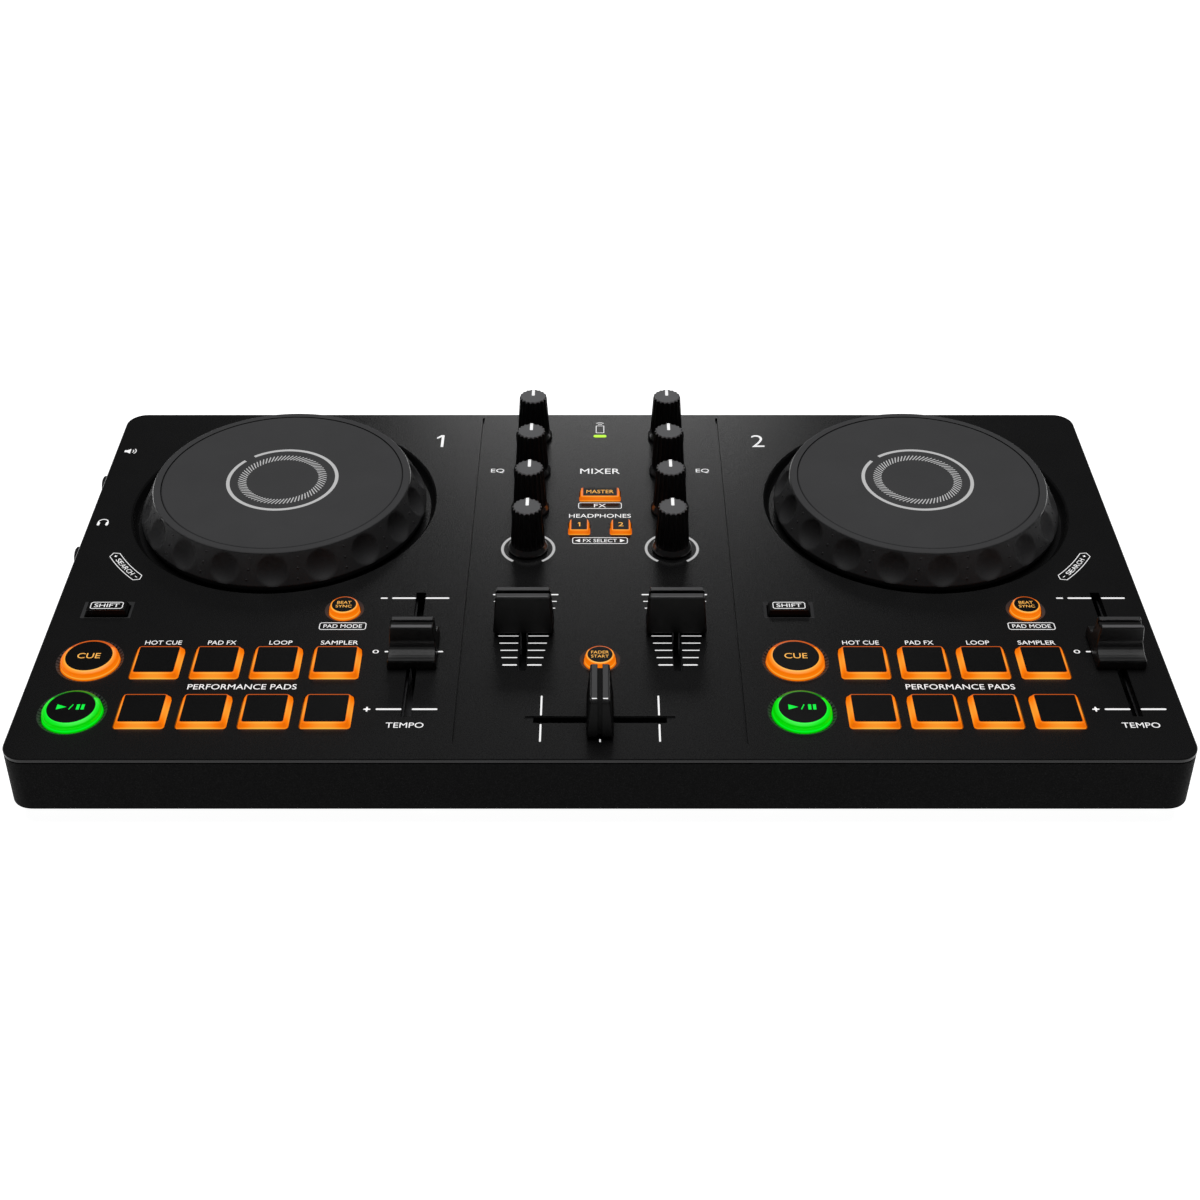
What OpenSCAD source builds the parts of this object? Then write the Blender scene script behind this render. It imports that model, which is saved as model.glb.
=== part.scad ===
// Two-deck DJ controller: a flat case with two jog wheels, a mixer between them,
// sixteen pads, play and cue buttons, sliders and two level knobs on the left wall.
// Millimetres, +Z up. The origin is on the ground under the middle of the whole part,
// and the front of the case faces -Y.

/* [Case] */

// Width of the case over its side walls
case_width = 385; // [375:1:470]
// Depth of the case from its front wall to its back wall
case_depth = 211.7; // [208:0.1:260]
// Height from the bottom edge of the walls to the top of the panel
wall_height = 22.2; // [21:0.1:28]
// Thickness of the case walls
wall = 2.4; // [1.8:0.1:3]
// Thickness of the floor of the case
floor_thickness = 2.2; // [1.6:0.1:3]
// Radius of the case corners seen from above
corner_radius = 7.5; // [6:0.5:12]
// Drop of the inset base below the walls
base_step = 3; // [2.5:0.1:5]
// Distance from the walls in to the edge of the base
base_inset = 5; // [4:0.5:8]
// Chamfer round the bottom edge of the walls
bottom_chamfer = 1; // [0.4:0.1:1.5]
// Height the rubber feet stand out below the base
foot_height = 3; // [2:0.1:5]
// Radius of a rubber foot
foot_radius = 9; // [6:0.5:11]

/* [Panel] */

// Thickness of the top panel
panel = 2.4; // [2:0.1:2.8]
// Height of the bright rim round the edge of the panel
rim_height = 1.4; // [1:0.1:1.6]
// Chamfer on the rim
rim_chamfer = 0.3; // [0.2:0.1:0.8]
// Height of the shadow gap between the panel rim and the walls
shadow_gap = 0.5; // [0.3:0.1:0.6]
// Width of the two long grooves beside the mixer
groove_width = 0.8; // [0.5:0.1:1.2]
// Depth of those grooves
groove_depth = 1.2; // [0.4:0.1:1.4]
// Distance of the grooves from the middle
groove_x = 47.4; // [44:0.1:50]

/* [Clearances] */

// Gap between a moving piece and the hole it moves in
gap = 0.35; // [0.3:0.05:0.5]
// Radial clearance of a shaft that turns in its bearing
running = 0.05; // [0.02:0.01:0.1]
// Gap between a button and its switch when pressed home
press_gap = 0.4; // [0.3:0.05:0.6]

/* [Jog wheels] */

// Distance from the side of the case to the middle of a deck
deck_inset = 72.3; // [70:0.1:76]
// Distance from the back of the case to the middle of a jog wheel
jog_inset = 65.3; // [64:0.1:75]
// Radius of the round well in the panel
well_radius = 57.8; // [56:0.1:59]
// Depth of the well
well_depth = 4; // [3.5:0.1:4.5]
// Radius of the jog wheel at its widest
jog_radius = 53.8; // [52:0.1:54.5]
// Radius of the top edge of the jog wheel
jog_top_radius = 48.4; // [47.5:0.1:50]
// Height of the jog wheel above the panel
jog_height = 11; // [10.5:0.1:13]
// Radius of the platter disc
platter_radius = 45.2; // [44.5:0.1:46]
// Number of finger dimples round the wheel
dimples = 18; // [12:1:18]
// Radius of the ball that cuts a dimple
dimple_ball = 8.6; // [7:0.1:10]
// Depth of a dimple
dimple_depth = 2.1; // [1:0.1:2.6]
// Radius of the axle pin
axle_radius = 4; // [3:0.1:5]
// Number of slots in the encoder ring
encoder_slots = 36; // [18:2:48]

/* [Pads] */

// Side of a pad where it meets the panel
pad_size = 16.2; // [14:0.1:17.5]
// Side of the flat top of a pad
pad_top = 13.6; // [11:0.1:14]
// Height of a pad above the panel
pad_height = 1.9; // [1.4:0.1:3]
// Distance between pad columns
pad_pitch_x = 20.23; // [20:0.01:20.6]
// Distance between pad rows
pad_pitch_y = 25.6; // [21:0.1:26]
// Distance from the front of the case to the first pad row
pad_front = 23.3; // [20:0.1:24]
// Travel of a pad
pad_travel = 0.8; // [0.4:0.1:1]

/* [Buttons] */

// Radius of the cue and play buttons
cue_radius = 9.9; // [8:0.05:11]
// Height of the cue and play buttons above the panel
cue_height = 2.2; // [1.6:0.1:3]
// Radius of the sync and fader start buttons
sync_radius = 5.4; // [4.5:0.1:6.5]
// Height of the sync and fader start buttons above the panel
sync_height = 2.4; // [1.6:0.1:3.5]
// Width of the shift button
shift_width = 14.6; // [12:0.1:16]
// Depth of the shift button
shift_depth = 6.4; // [5:0.1:7.5]
// Width of the master cue button
master_width = 15.3; // [12:0.1:17]
// Width of a headphone cue button
phones_width = 7.6; // [6.5:0.1:9]
// Travel of the buttons
button_travel = 1; // [0.5:0.1:1.2]
// Width of the bevelled recess round a round button and a shift button
recess_width = 1.5; // [1:0.1:2]
// Depth of that recess
recess_depth = 0.6; // [0.4:0.1:0.8]

/* [Knobs] */

// Distance of the knob columns from the middle
knob_x = 26.5; // [24:0.1:28]
// Distance between knobs in a column
knob_pitch = 26; // [20:0.1:27]
// Distance from the back of the case to the last knob
knob_inset = 17.2; // [16.5:0.1:20]
// Height of a knob above the panel
knob_height = 19; // [14:0.1:22]
// Radius of the flange at the foot of a knob
knob_flange = 7.25; // [6.5:0.05:8]
// Radius of a knob above its flange
knob_radius = 6.35; // [5.5:0.05:6.6]
// Radius of the top of a knob
knob_top_radius = 5.35; // [4.5:0.05:5.4]
// Number of flutes round a knob
flutes = 18; // [12:1:20]
// Radius of the shaft of a knob
shaft_radius = 2.9; // [2:0.1:3.2]
// Radius of the level knobs on the left wall
level_radius = 4.5; // [3.5:0.1:4.8]
// Distance the level knobs stand out of the wall
level_reach = 3.4; // [2:0.1:6]

/* [Sliders] */

// Length of the tempo slot
tempo_slot = 68.1; // [50:0.1:70]
// Width of the tempo slot
tempo_slot_width = 3.4; // [2.8:0.1:4]
// Travel of a tempo slider from end to end
tempo_travel = 60; // [40:1:60]
// Length of the channel fader slot
channel_slot = 46.4; // [40:0.1:50]
// Travel of a channel fader from end to end
channel_travel = 42; // [30:1:42]
// Length of the crossfader slot
cross_slot = 43.8; // [40:0.1:46]
// Travel of the crossfader from end to end
cross_travel = 40; // [30:1:40]
// Width of the channel and crossfader slots
fader_slot_width = 2.8; // [2.4:0.1:3.2]
// Height of the channel and crossfader caps above the panel
fader_cap_height = 16.1; // [10:0.1:18]
// Length of those caps at the foot
fader_cap_length = 21; // [18:0.1:22]
// Width of those caps at the foot
fader_cap_width = 9; // [8:0.1:10]
// Gap between those caps and the panel
fader_cap_gap = 1.5; // [0.5:0.1:2]
// Height of the tempo caps above the panel
tempo_cap_height = 12.9; // [9:0.1:15]
// Length of the tempo caps
tempo_cap_length = 19.6; // [17:0.1:21]
// Width of the tempo caps
tempo_cap_width = 16.8; // [13:0.1:17.5]

/* [Sockets] */

// Outer radius of a phono sleeve
phono_radius = 4.15; // [4.1:0.05:4.2]
// Distance the phono sleeves stand out of the back wall
phono_reach = 2.3; // [1:0.1:8]
// Radius of the headphone socket bore
phones_bore = 1.8; // [1.75:0.01:1.85]

/* [Hidden] */

$fn = 64;
eps = 0.01;

case_x = level_reach / 2;
front_y = -(case_depth + phono_reach) / 2;

base_z = foot_height;
wall_z = base_z + base_step;
panel_z = wall_z + wall_height;
under_z = panel_z - panel;
wall_top_z = panel_z - rim_height - shadow_gap;
skirt_z = under_z - 1.6;
seam_inset = 0.6;
skirt_inset = wall + 0.2;

deck_x = case_width / 2 - deck_inset;
jog_y = case_depth - jog_inset;
well_floor = 1.8;
well_side = 1.8;
boss_radius = 9;
boss_z = panel_z - 10;
boss_top_z = panel_z - well_depth + 2;
hub_radius = 9;
wheel_z = boss_top_z + 0.4;
web_z = panel_z + 3.6;
web = 2;
platter_thickness = 2;
side_run = jog_radius - jog_top_radius;
side_rise = jog_height - 0.5;
side_length = sqrt(side_run * side_run + side_rise * side_rise);
dimple_out = dimple_ball - dimple_depth;
dimple_r = (jog_radius + jog_top_radius) / 2 + dimple_out * side_rise / side_length;
dimple_z = side_rise / 2 + dimple_out * side_run / side_length;
encoder_radius = 37;
encoder_wall = 1.2;
sensor_gap = 0.8;

board_thickness = 1.6;
board_top_z = under_z - 8.2;
board_z = board_top_z - board_thickness;
board_front = 14.2;
board_back = case_depth - 14.3;
board_x = case_width / 2 - 15;
board_hole = 12;

flange = 1;
flange_top_z = under_z - 0.3;
flange_z = flange_top_z - flange;
pad_plunger_z = flange_z - 3;
plunger_z = flange_z - 2.2;
column_x = [-1.5 * pad_pitch_x, -0.5 * pad_pitch_x, 0.5 * pad_pitch_x, 1.5 * pad_pitch_x];
row_y = [pad_front + pad_pitch_y, pad_front];

cue_x = -53.6;
cue_y = row_y[0] + 1.5;
play_y = row_y[1] + 0.1;
sync_x = 30;
sync_y = cue_y + 28.8;
shift_y = sync_y - 0.1;
tempo_x = 56.4;
tempo_y = pad_front + 31.95;
channel_y = tempo_y + 12.85;
cross_y = pad_front - 3.7;
fader_start_y = cross_y + 31.4;
knob_y = [for (i = [0:3]) case_depth - knob_inset - i * knob_pitch];
master_y = case_depth - 60.4;
phones_y = case_depth - 82.3;
phones_x = 7.8;
light_y = case_depth - 16.85;

cap_end_inset = 1.1;
cap_lean = atan(cap_end_inset / (fader_cap_height - fader_cap_gap));
skirt_radius = tempo_cap_height - 5.6;
skirt_y = 3.3 + skirt_radius;
skirt_centre_z = 3.6 + skirt_radius;
tempo_lever = 7.4;
channel_lever = 3.8;
cross_lever = 3.2;
lever_thickness = 1.6;
fader_body_z = board_top_z;
fader_body_top_z = board_top_z + 7;
fader_body_width = 9;
lever_z = fader_body_z + 2;

lean = atan((knob_radius - knob_top_radius) / (knob_height - 3));
pot_size = 9.5;
pot_height = 6;
bushing_radius = shaft_radius + 0.7;
level_z = panel_z - 9;
level_y = [case_depth - 40.5, case_depth - 88.9];
level_inner = 6;

screw_inset = base_inset + 5;
screw_xy = [for (x = [-1, 1]) for (y = [screw_inset, case_depth - screw_inset])
  for (k = [case_width / 2 - screw_inset, y < case_depth / 2 ? 56 : 40]) [x * k, y]];
screw_split_z = board_z - 4;
screw_head = 2.9;
screw_shank = 1.15;
foot_xy = [for (x = [-1, 1]) for (y = [20, case_depth - 20]) [x * (case_width / 2 - 27), y]];
post_xy = [for (x = [-1, 1]) for (p = [[case_width / 2 - 30, 24], [44, 30], [44, 100],
  [case_width / 2 - 30, 98], [40, 186]]) [x * p[0], p[1]]];

phono_x = [62, 77];
phono_face = case_depth - 6.7;
phono_z = board_z - 0.4;
usb_x = [-12, 12];
usb_width = 8.94;
usb_height = 3.26;
usb_z = board_z - usb_height / 2;
phones_socket_x = -66;
phones_socket_z = board_z - 3.2;

dark = [0.07, 0.07, 0.075];
satin = [0.16, 0.16, 0.17];
gloss = [0.04, 0.04, 0.045];
amber = [1, 0.5, 0.05];
green = [0.1, 0.9, 0.2];
metal = [0.75, 0.75, 0.78];

// ---------- shared shapes ----------

// Puts a shape drawn from the middle of the case's front edge into the part's frame
module at_case() translate([case_x, front_y, 0]) children();

// Flat rectangle with round corners, centred
module round_rect(w, d, r) {
  square([w - 2 * r, d], center = true);
  square([w, d - 2 * r], center = true);
  for (x = [-1, 1], y = [-1, 1])
    translate([x * (w / 2 - r), y * (d / 2 - r)]) circle(r);
}

module slab(w, d, r, h) linear_extrude(h) round_rect(w, d, r);

// Slab whose top edge is chamfered all round
module chamfered_slab(w, d, r, h, c) {
  slab(w, d, r, h - c);
  translate([0, 0, h - c]) {
    rotate([90, 0, 0]) translate([0, 0, -(d / 2 - r)]) linear_extrude(d - 2 * r)
      polygon([[-w / 2, 0], [w / 2, 0], [w / 2 - c, c], [c - w / 2, c]]);
    rotate([90, 0, 90]) translate([0, 0, -(w / 2 - r)]) linear_extrude(w - 2 * r)
      polygon([[-d / 2, 0], [d / 2, 0], [d / 2 - c, c], [c - d / 2, c]]);
    for (x = [-1, 1], y = [-1, 1])
      translate([x * (w / 2 - r), y * (d / 2 - r), 0]) cylinder(c, r, r - c);
  }
}

// Block whose four sides lean in, from w1 by d1 at the foot to w2 by d2 at the top
module tapered(w1, d1, w2, d2, h) intersection() {
  rotate([90, 0, 0]) translate([0, 0, -d1]) linear_extrude(2 * d1)
    polygon([[-w1 / 2, 0], [w1 / 2, 0], [w2 / 2, h], [-w2 / 2, h]]);
  rotate([90, 0, 90]) translate([0, 0, -w1]) linear_extrude(2 * w1)
    polygon([[-d1 / 2, 0], [d1 / 2, 0], [d2 / 2, h], [-d2 / 2, h]]);
}

// Hole through the panel with a shallow bevel at its mouth
module round_button_hole(r) {
  translate([0, 0, under_z - 1]) cylinder(panel + 2, r + gap, r + gap);
  translate([0, 0, panel_z - recess_depth])
    cylinder(2 * recess_depth, r + gap + 0.1, r + 2 * recess_width - gap - 0.1);
}

// Straight hole for a rectangular button
module rect_button_hole(w, d) translate([0, 0, under_z - 1])
  slab(w + 2 * gap, d + 2 * gap, 0.8, panel + 2);

// ---------- case ----------

module deck_holes() {
  for (x = column_x, y = row_y) translate([x, y, under_z - 1])
    slab(pad_size + 2 * gap, pad_size + 2 * gap, 1.2, panel + 2);
  translate([cue_x, cue_y, 0]) round_button_hole(cue_radius);
  translate([cue_x, play_y, 0]) round_button_hole(cue_radius);
  translate([sync_x, sync_y, 0]) round_button_hole(sync_radius);
  translate([cue_x, shift_y, 0]) {
    rect_button_hole(shift_width, shift_depth);
    translate([0, 0, panel_z - recess_depth])
      tapered(shift_width + 2 * gap + 0.2, shift_depth + 2 * gap + 0.2,
        shift_width + 4 * recess_width - 2 * gap - 0.2,
        shift_depth + 4 * recess_width - 2 * gap - 0.2, 2 * recess_depth);
  }
  translate([tempo_x - tempo_slot_width / 2, tempo_y - tempo_slot / 2, under_z - 1])
    cube([tempo_slot_width, tempo_slot, panel + 2]);
}

// Round hollow of the jog well, with a sloping side and a bevelled mouth
module well_hollow() translate([0, jog_y, panel_z]) rotate_extrude()
  polygon([[0, -well_depth], [well_radius - 2.4, -well_depth], [well_radius - 1.7, 0.7 - well_depth],
    [well_radius - 0.6, -0.6], [well_radius, 0], [well_radius, 1], [0, 1]]);

module mixer_holes() {
  for (s = [-1, 1]) {
    for (y = knob_y) translate([s * knob_x, y, under_z - 1])
      cylinder(panel + 2, bushing_radius + 0.3, bushing_radius + 0.3);
    translate([s * knob_x - fader_slot_width / 2, channel_y - channel_slot / 2, under_z - 1])
      cube([fader_slot_width, channel_slot, panel + 2]);
    translate([s * phones_x, phones_y, 0]) rect_button_hole(phones_width, 7.4);
    translate([s * groove_x - groove_width / 2, 7.7, panel_z - groove_depth])
      cube([groove_width, case_depth - 10.6, 2]);
  }
  translate([-cross_slot / 2, cross_y - fader_slot_width / 2, under_z - 1])
    cube([cross_slot, fader_slot_width, panel + 2]);
  translate([-cross_slot / 2 - 2.8, cross_y - fader_slot_width / 2 - 0.3, panel_z - 0.4])
    cube([cross_slot + 5.6, fader_slot_width + 0.6, 1]);
  translate([0, fader_start_y, 0]) round_button_hole(sync_radius);
  translate([0, master_y, 0]) rect_button_hole(master_width, 6.4);
  translate([0, light_y, under_z - 1]) slab(5.2, 1.8, 0.85, panel + 2);
}

module top_panel() color(dark) at_case() {
  difference() {
    union() {
      translate([0, case_depth / 2, panel_z - rim_height])
        chamfered_slab(case_width, case_depth, corner_radius, rim_height, rim_chamfer);
      translate([0, case_depth / 2, wall_top_z])
        slab(case_width - 2 * seam_inset, case_depth - 2 * seam_inset,
          corner_radius - seam_inset, shadow_gap + eps);
      translate([0, case_depth / 2, under_z])
        slab(case_width - 2 * skirt_inset, case_depth - 2 * skirt_inset,
          corner_radius - skirt_inset, wall_top_z - under_z + eps);
      // Skirt that locates the panel inside the walls
      difference() {
        translate([0, case_depth / 2, skirt_z])
          slab(case_width - 2 * skirt_inset, case_depth - 2 * skirt_inset,
            corner_radius - skirt_inset, under_z - skirt_z + eps);
        translate([0, case_depth / 2, skirt_z - 1])
          slab(case_width - 2 * skirt_inset - 2.8, case_depth - 2 * skirt_inset - 2.8,
            corner_radius - skirt_inset - 1.4, under_z - skirt_z + 1);
      }
      for (s = [-1, 1]) translate([s * deck_x, jog_y, panel_z - well_depth - well_floor])
        cylinder(well_depth + well_floor - 1, well_radius + well_side, well_radius + well_side);
      // Bosses that take the case screws
      for (p = screw_xy) translate([p[0], p[1], screw_split_z])
        cylinder(under_z - screw_split_z + 0.5, 3.4, 3.4);
    }
    for (s = [-1, 1]) translate([s * deck_x, 0, 0]) {
      well_hollow();
      deck_holes();
      // Window for the encoder sensors
      translate([-7, jog_y - encoder_radius - 4.5, panel_z - well_depth - well_floor - 1])
        cube([14, 9, well_floor + 2]);
    }
    mixer_holes();
    for (s = [-1, 1]) translate([s * deck_x, jog_y, boss_z])
      cylinder(boss_top_z - boss_z, boss_radius - 1, boss_radius - 1);
    for (p = screw_xy) translate([p[0], p[1], screw_split_z - 1])
      cylinder(9, screw_shank, screw_shank);
  }
  // Bearing bosses in the middle of the wells
  for (s = [-1, 1]) translate([s * deck_x, jog_y, 0]) difference() {
    translate([0, 0, boss_z]) cylinder(boss_top_z - boss_z, boss_radius, boss_radius);
    translate([0, 0, boss_z - 1])
      cylinder(boss_top_z - boss_z + 2, axle_radius, axle_radius);
  }
}

module bottom_case() color(satin) at_case() {
  difference() {
    union() {
      difference() {
        union() {
          translate([0, case_depth / 2, wall_top_z]) mirror([0, 0, 1])
            chamfered_slab(case_width, case_depth, corner_radius,
              wall_top_z - wall_z, bottom_chamfer);
          translate([0, case_depth / 2, base_z])
            slab(case_width - 2 * base_inset, case_depth - 2 * base_inset, corner_radius - 2,
              base_step + eps);
        }
        translate([0, case_depth / 2, wall_z + floor_thickness])
          slab(case_width - 2 * wall, case_depth - 2 * wall, corner_radius - wall, 40);
        translate([0, case_depth / 2, base_z + floor_thickness])
          slab(case_width - 2 * base_inset - 2 * wall, case_depth - 2 * base_inset - 2 * wall,
            corner_radius - 4, base_step + 1);
      }
      // Posts for the case screws
      for (p = screw_xy) translate([p[0], p[1], base_z + 0.5])
        cylinder(screw_split_z - base_z - 0.5, 4.2, 4.2);
      // Posts the board rests on
      for (p = post_xy) translate([p[0], p[1], base_z + 1])
        cylinder(board_z - base_z - 1, 3, 3);
      // Columns that hold up the jog axles
      for (s = [-1, 1]) translate([s * deck_x, jog_y, base_z + 1])
        cylinder(boss_z - 1.2 - base_z - 1, 7, 7);
    }
    for (p = screw_xy) translate([p[0], p[1], 0]) {
      cylinder(screw_split_z + 1, 1.5, 1.5);
      cylinder(base_z + 2.1, screw_head + 0.3, screw_head + 0.3);
    }
    for (p = foot_xy) translate([p[0], p[1], base_z - 1])
      cylinder(1.8, foot_radius + 0.1, foot_radius + 0.1);
    // Back wall openings
    for (x = phono_x) translate([x, case_depth - wall - 1, phono_z]) rotate([-90, 0, 0])
      cylinder(wall + 2, 7.1, 7.1);
    for (x = usb_x) translate([x, case_depth - wall - 1, usb_z]) rotate([-90, 0, 0])
      slab(usb_width + 0.6, usb_height + 0.6, 1.9, wall + 2);
    translate([phones_socket_x, case_depth - wall - 1, phones_socket_z]) rotate([-90, 0, 0])
      cylinder(wall + 2, 3.1, 3.1);
    // Holes for the level knobs in the left wall
    for (y = level_y) translate([-case_width / 2 - 1, y, level_z]) rotate([0, 90, 0])
      cylinder(wall + 2, level_radius + gap, level_radius + gap);
    // Row of vents across the base
    for (i = [-6:6]) translate([i * 6 - 1, case_depth / 2 + 10, base_z - 1]) cube([2, 30, 6]);
  }
}

// ---------- inside ----------

module switch_at(x, y) {
  translate([x - 3, y - 3, board_top_z - eps]) cube([6, 6, 2.6 + eps]);
  translate([x, y, board_top_z])
    cylinder(plunger_z - button_travel - press_gap - board_top_z, 1.7, 1.7);
}

module encoder_sensor() translate([0, jog_y - encoder_radius, 0]) difference() {
  translate([-5, -3.4, board_top_z - eps]) cube([10, 6.8, panel_z + 1.2 - board_top_z]);
  translate([-6, -encoder_wall / 2 - sensor_gap, wheel_z - 0.9])
    cube([12, encoder_wall + 2 * sensor_gap, 20]);
}

module main_board() color([0.05, 0.25, 0.12]) at_case() {
  difference() {
    translate([0, 0, board_z]) linear_extrude(board_thickness) difference() {
      union() {
        translate([-board_x, board_front]) square([2 * board_x, board_back - board_front]);
        // Tabs that carry the usb and headphone sockets
        translate([phones_socket_x - 8, board_back - 5]) square([16, 13]);
        translate([usb_x[0] - 8, board_back - 5]) square([usb_x[1] - usb_x[0] + 16, 14]);
      }
      for (s = [-1, 1]) translate([s * deck_x, jog_y]) circle(board_hole);
    }
  }
  for (s = [-1, 1]) translate([s * deck_x, 0, 0]) {
    switch_at(cue_x, cue_y);
    switch_at(cue_x, play_y);
    switch_at(sync_x, sync_y);
    switch_at(cue_x, shift_y);
    encoder_sensor();
  }
  switch_at(0, fader_start_y);
  switch_at(0, master_y);
  switch_at(-phones_x, phones_y);
  switch_at(phones_x, phones_y);
  // Chips and capacitors
  translate([-9, 96, board_top_z - eps]) cube([18, 18, 1.4]);
  translate([-6, 170, board_top_z - eps]) cube([12, 12, 1.2]);
  for (x = [-12, 12], y = [78, 86]) translate([x, y, board_top_z - eps]) cylinder(5.2, 2.5, 2.5);
  translate([40, 120, board_top_z - eps]) cube([7, 10, 1.4]);
  translate([-47, 120, board_top_z - eps]) cube([7, 10, 1.4]);
}

module pad_keymats() color([0.75, 0.74, 0.7]) at_case() for (s = [-1, 1])
  translate([s * deck_x, 0, board_top_z]) {
    translate([0, (row_y[0] + row_y[1]) / 2, 0])
      slab(3 * pad_pitch_x + 15, pad_pitch_y + 15, 3, 1);
    for (x = column_x, y = row_y) translate([x, y, 0.5])
      cylinder(pad_plunger_z - pad_travel - press_gap - board_top_z - 0.5, 5.5, 4);
  }

// Slide potentiometer body, long side along Y
module fader_unit(length, travel, lever) difference() {
  translate([-fader_body_width / 2, -length / 2, fader_body_z])
    cube([fader_body_width, length, fader_body_top_z - fader_body_z]);
  translate([1 - fader_body_width / 2, 1 - length / 2, fader_body_z + 1])
    cube([fader_body_width - 2, length - 2, fader_body_top_z - fader_body_z - 1.8]);
  translate([-1.3, -(travel + lever) / 2 - 0.5, fader_body_z + 2])
    cube([2.6, travel + lever + 1, 20]);
}

module fader_units() color(metal) at_case() {
  for (s = [-1, 1]) {
    translate([s * deck_x + tempo_x, tempo_y, 0]) fader_unit(80, tempo_travel, tempo_lever);
    translate([s * knob_x, channel_y, 0]) fader_unit(58, channel_travel, channel_lever);
  }
  translate([0, cross_y, 0]) rotate([0, 0, 90]) fader_unit(56, cross_travel, cross_lever);
}

// Rotary potentiometer with its bushing along +Z, standing on z = 0
module pot(bushing_length, bore_depth) difference() {
  union() {
    translate([-pot_size / 2, -pot_size / 2, 0]) cube([pot_size, pot_size, pot_height]);
    cylinder(pot_height + bushing_length, bushing_radius, bushing_radius);
  }
  translate([0, 0, pot_height + bushing_length - bore_depth])
    cylinder(bore_depth + 1, shaft_radius + running, shaft_radius + running);
}

module knob_potentiometers() color([0.3, 0.42, 0.55]) at_case() {
  for (s = [-1, 1], y = knob_y) translate([s * knob_x, y, board_top_z])
    pot(panel_z - 0.1 - board_top_z - pot_height, panel_z - 0.1 - board_top_z - 1.5);
  for (y = level_y) translate([-board_x, y, level_z]) rotate([0, -90, 0])
    pot(2.4, pot_height + 2.4 - 1.5);
}

module jog_axles() color(metal) at_case() for (s = [-1, 1])
  translate([s * deck_x, jog_y, 0]) {
    translate([0, 0, boss_z - 1.2]) cylinder(1.2, 6.5, 6.5);
    translate([0, 0, boss_z - eps])
      cylinder(web_z + web + 1.8 - boss_z, axle_radius, axle_radius);
    // Clip that keeps the wheel on its axle
    translate([0, 0, web_z + web + 0.4]) cylinder(0.8, axle_radius + 2.4, axle_radius + 2.4);
  }

// ---------- sockets, feet and screws ----------

module usb_sockets() color(metal) at_case() for (x = usb_x)
  translate([x, case_depth - 8.2, usb_z]) rotate([-90, 0, 0]) {
    difference() {
      slab(usb_width, usb_height, 1.6, 8);
      translate([0, 0, 1]) slab(usb_width - 0.6, usb_height - 0.6, 1.3, 8);
    }
    translate([-3.2, -0.35, 0.5]) cube([6.4, 0.7, 5.5]);
  }

module phono_sockets() color(gloss) at_case() for (x = phono_x)
  translate([x, phono_face, phono_z]) rotate([-90, 0, 0]) difference() {
    union() {
      translate([-5.6, -5.4, board_back - phono_face])
        cube([11.2, 10.4, phono_face - board_back]);
      cylinder(case_depth + phono_reach - phono_face, phono_radius, phono_radius);
    }
    translate([0, 0, -6]) cylinder(30, 1.6, 1.6);
  }

module headphone_socket() color(gloss) at_case()
  translate([phones_socket_x, case_depth, phones_socket_z]) rotate([90, 0, 0]) difference() {
    union() {
      translate([-3.6, -3, 2.8]) cube([7.2, 6.2, 12]);
      cylinder(4, 2.9, 2.9);
    }
    translate([0, 0, -1]) cylinder(14.5, phones_bore, phones_bore);
  }

module rubber_feet() color(gloss) at_case() for (p = foot_xy)
  translate([p[0], p[1], 0]) rotate_extrude()
    polygon([[0, 0], [foot_radius - 0.8, 0], [foot_radius, 0.8], [foot_radius, base_z + 0.8],
      [0, base_z + 0.8]]);

module case_screws() color(metal) at_case() for (p = screw_xy)
  translate([p[0], p[1], 0]) difference() {
    union() {
      translate([0, 0, base_z + 0.1]) cylinder(2, screw_head, screw_head);
      translate([0, 0, base_z + 2]) cylinder(screw_split_z + 5 - base_z, screw_shank, screw_shank);
    }
    // Cross recess in the head
    for (a = [0, 90]) rotate([0, 0, a]) translate([-1.7, -0.35, base_z]) cube([3.4, 0.7, 1.1]);
  }

module status_light() color([0.7, 1, 0.1]) at_case() {
  translate([0, light_y, under_z]) slab(5.2, 1.8, 0.85, panel + 0.1);
  translate([-4, light_y - 2, under_z - 1.5]) cube([8, 4, 1.5]);
  translate([-1, light_y - 0.8, board_top_z]) cube([2, 1.6, under_z - board_top_z]);
}

// ---------- jog wheels ----------

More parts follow.
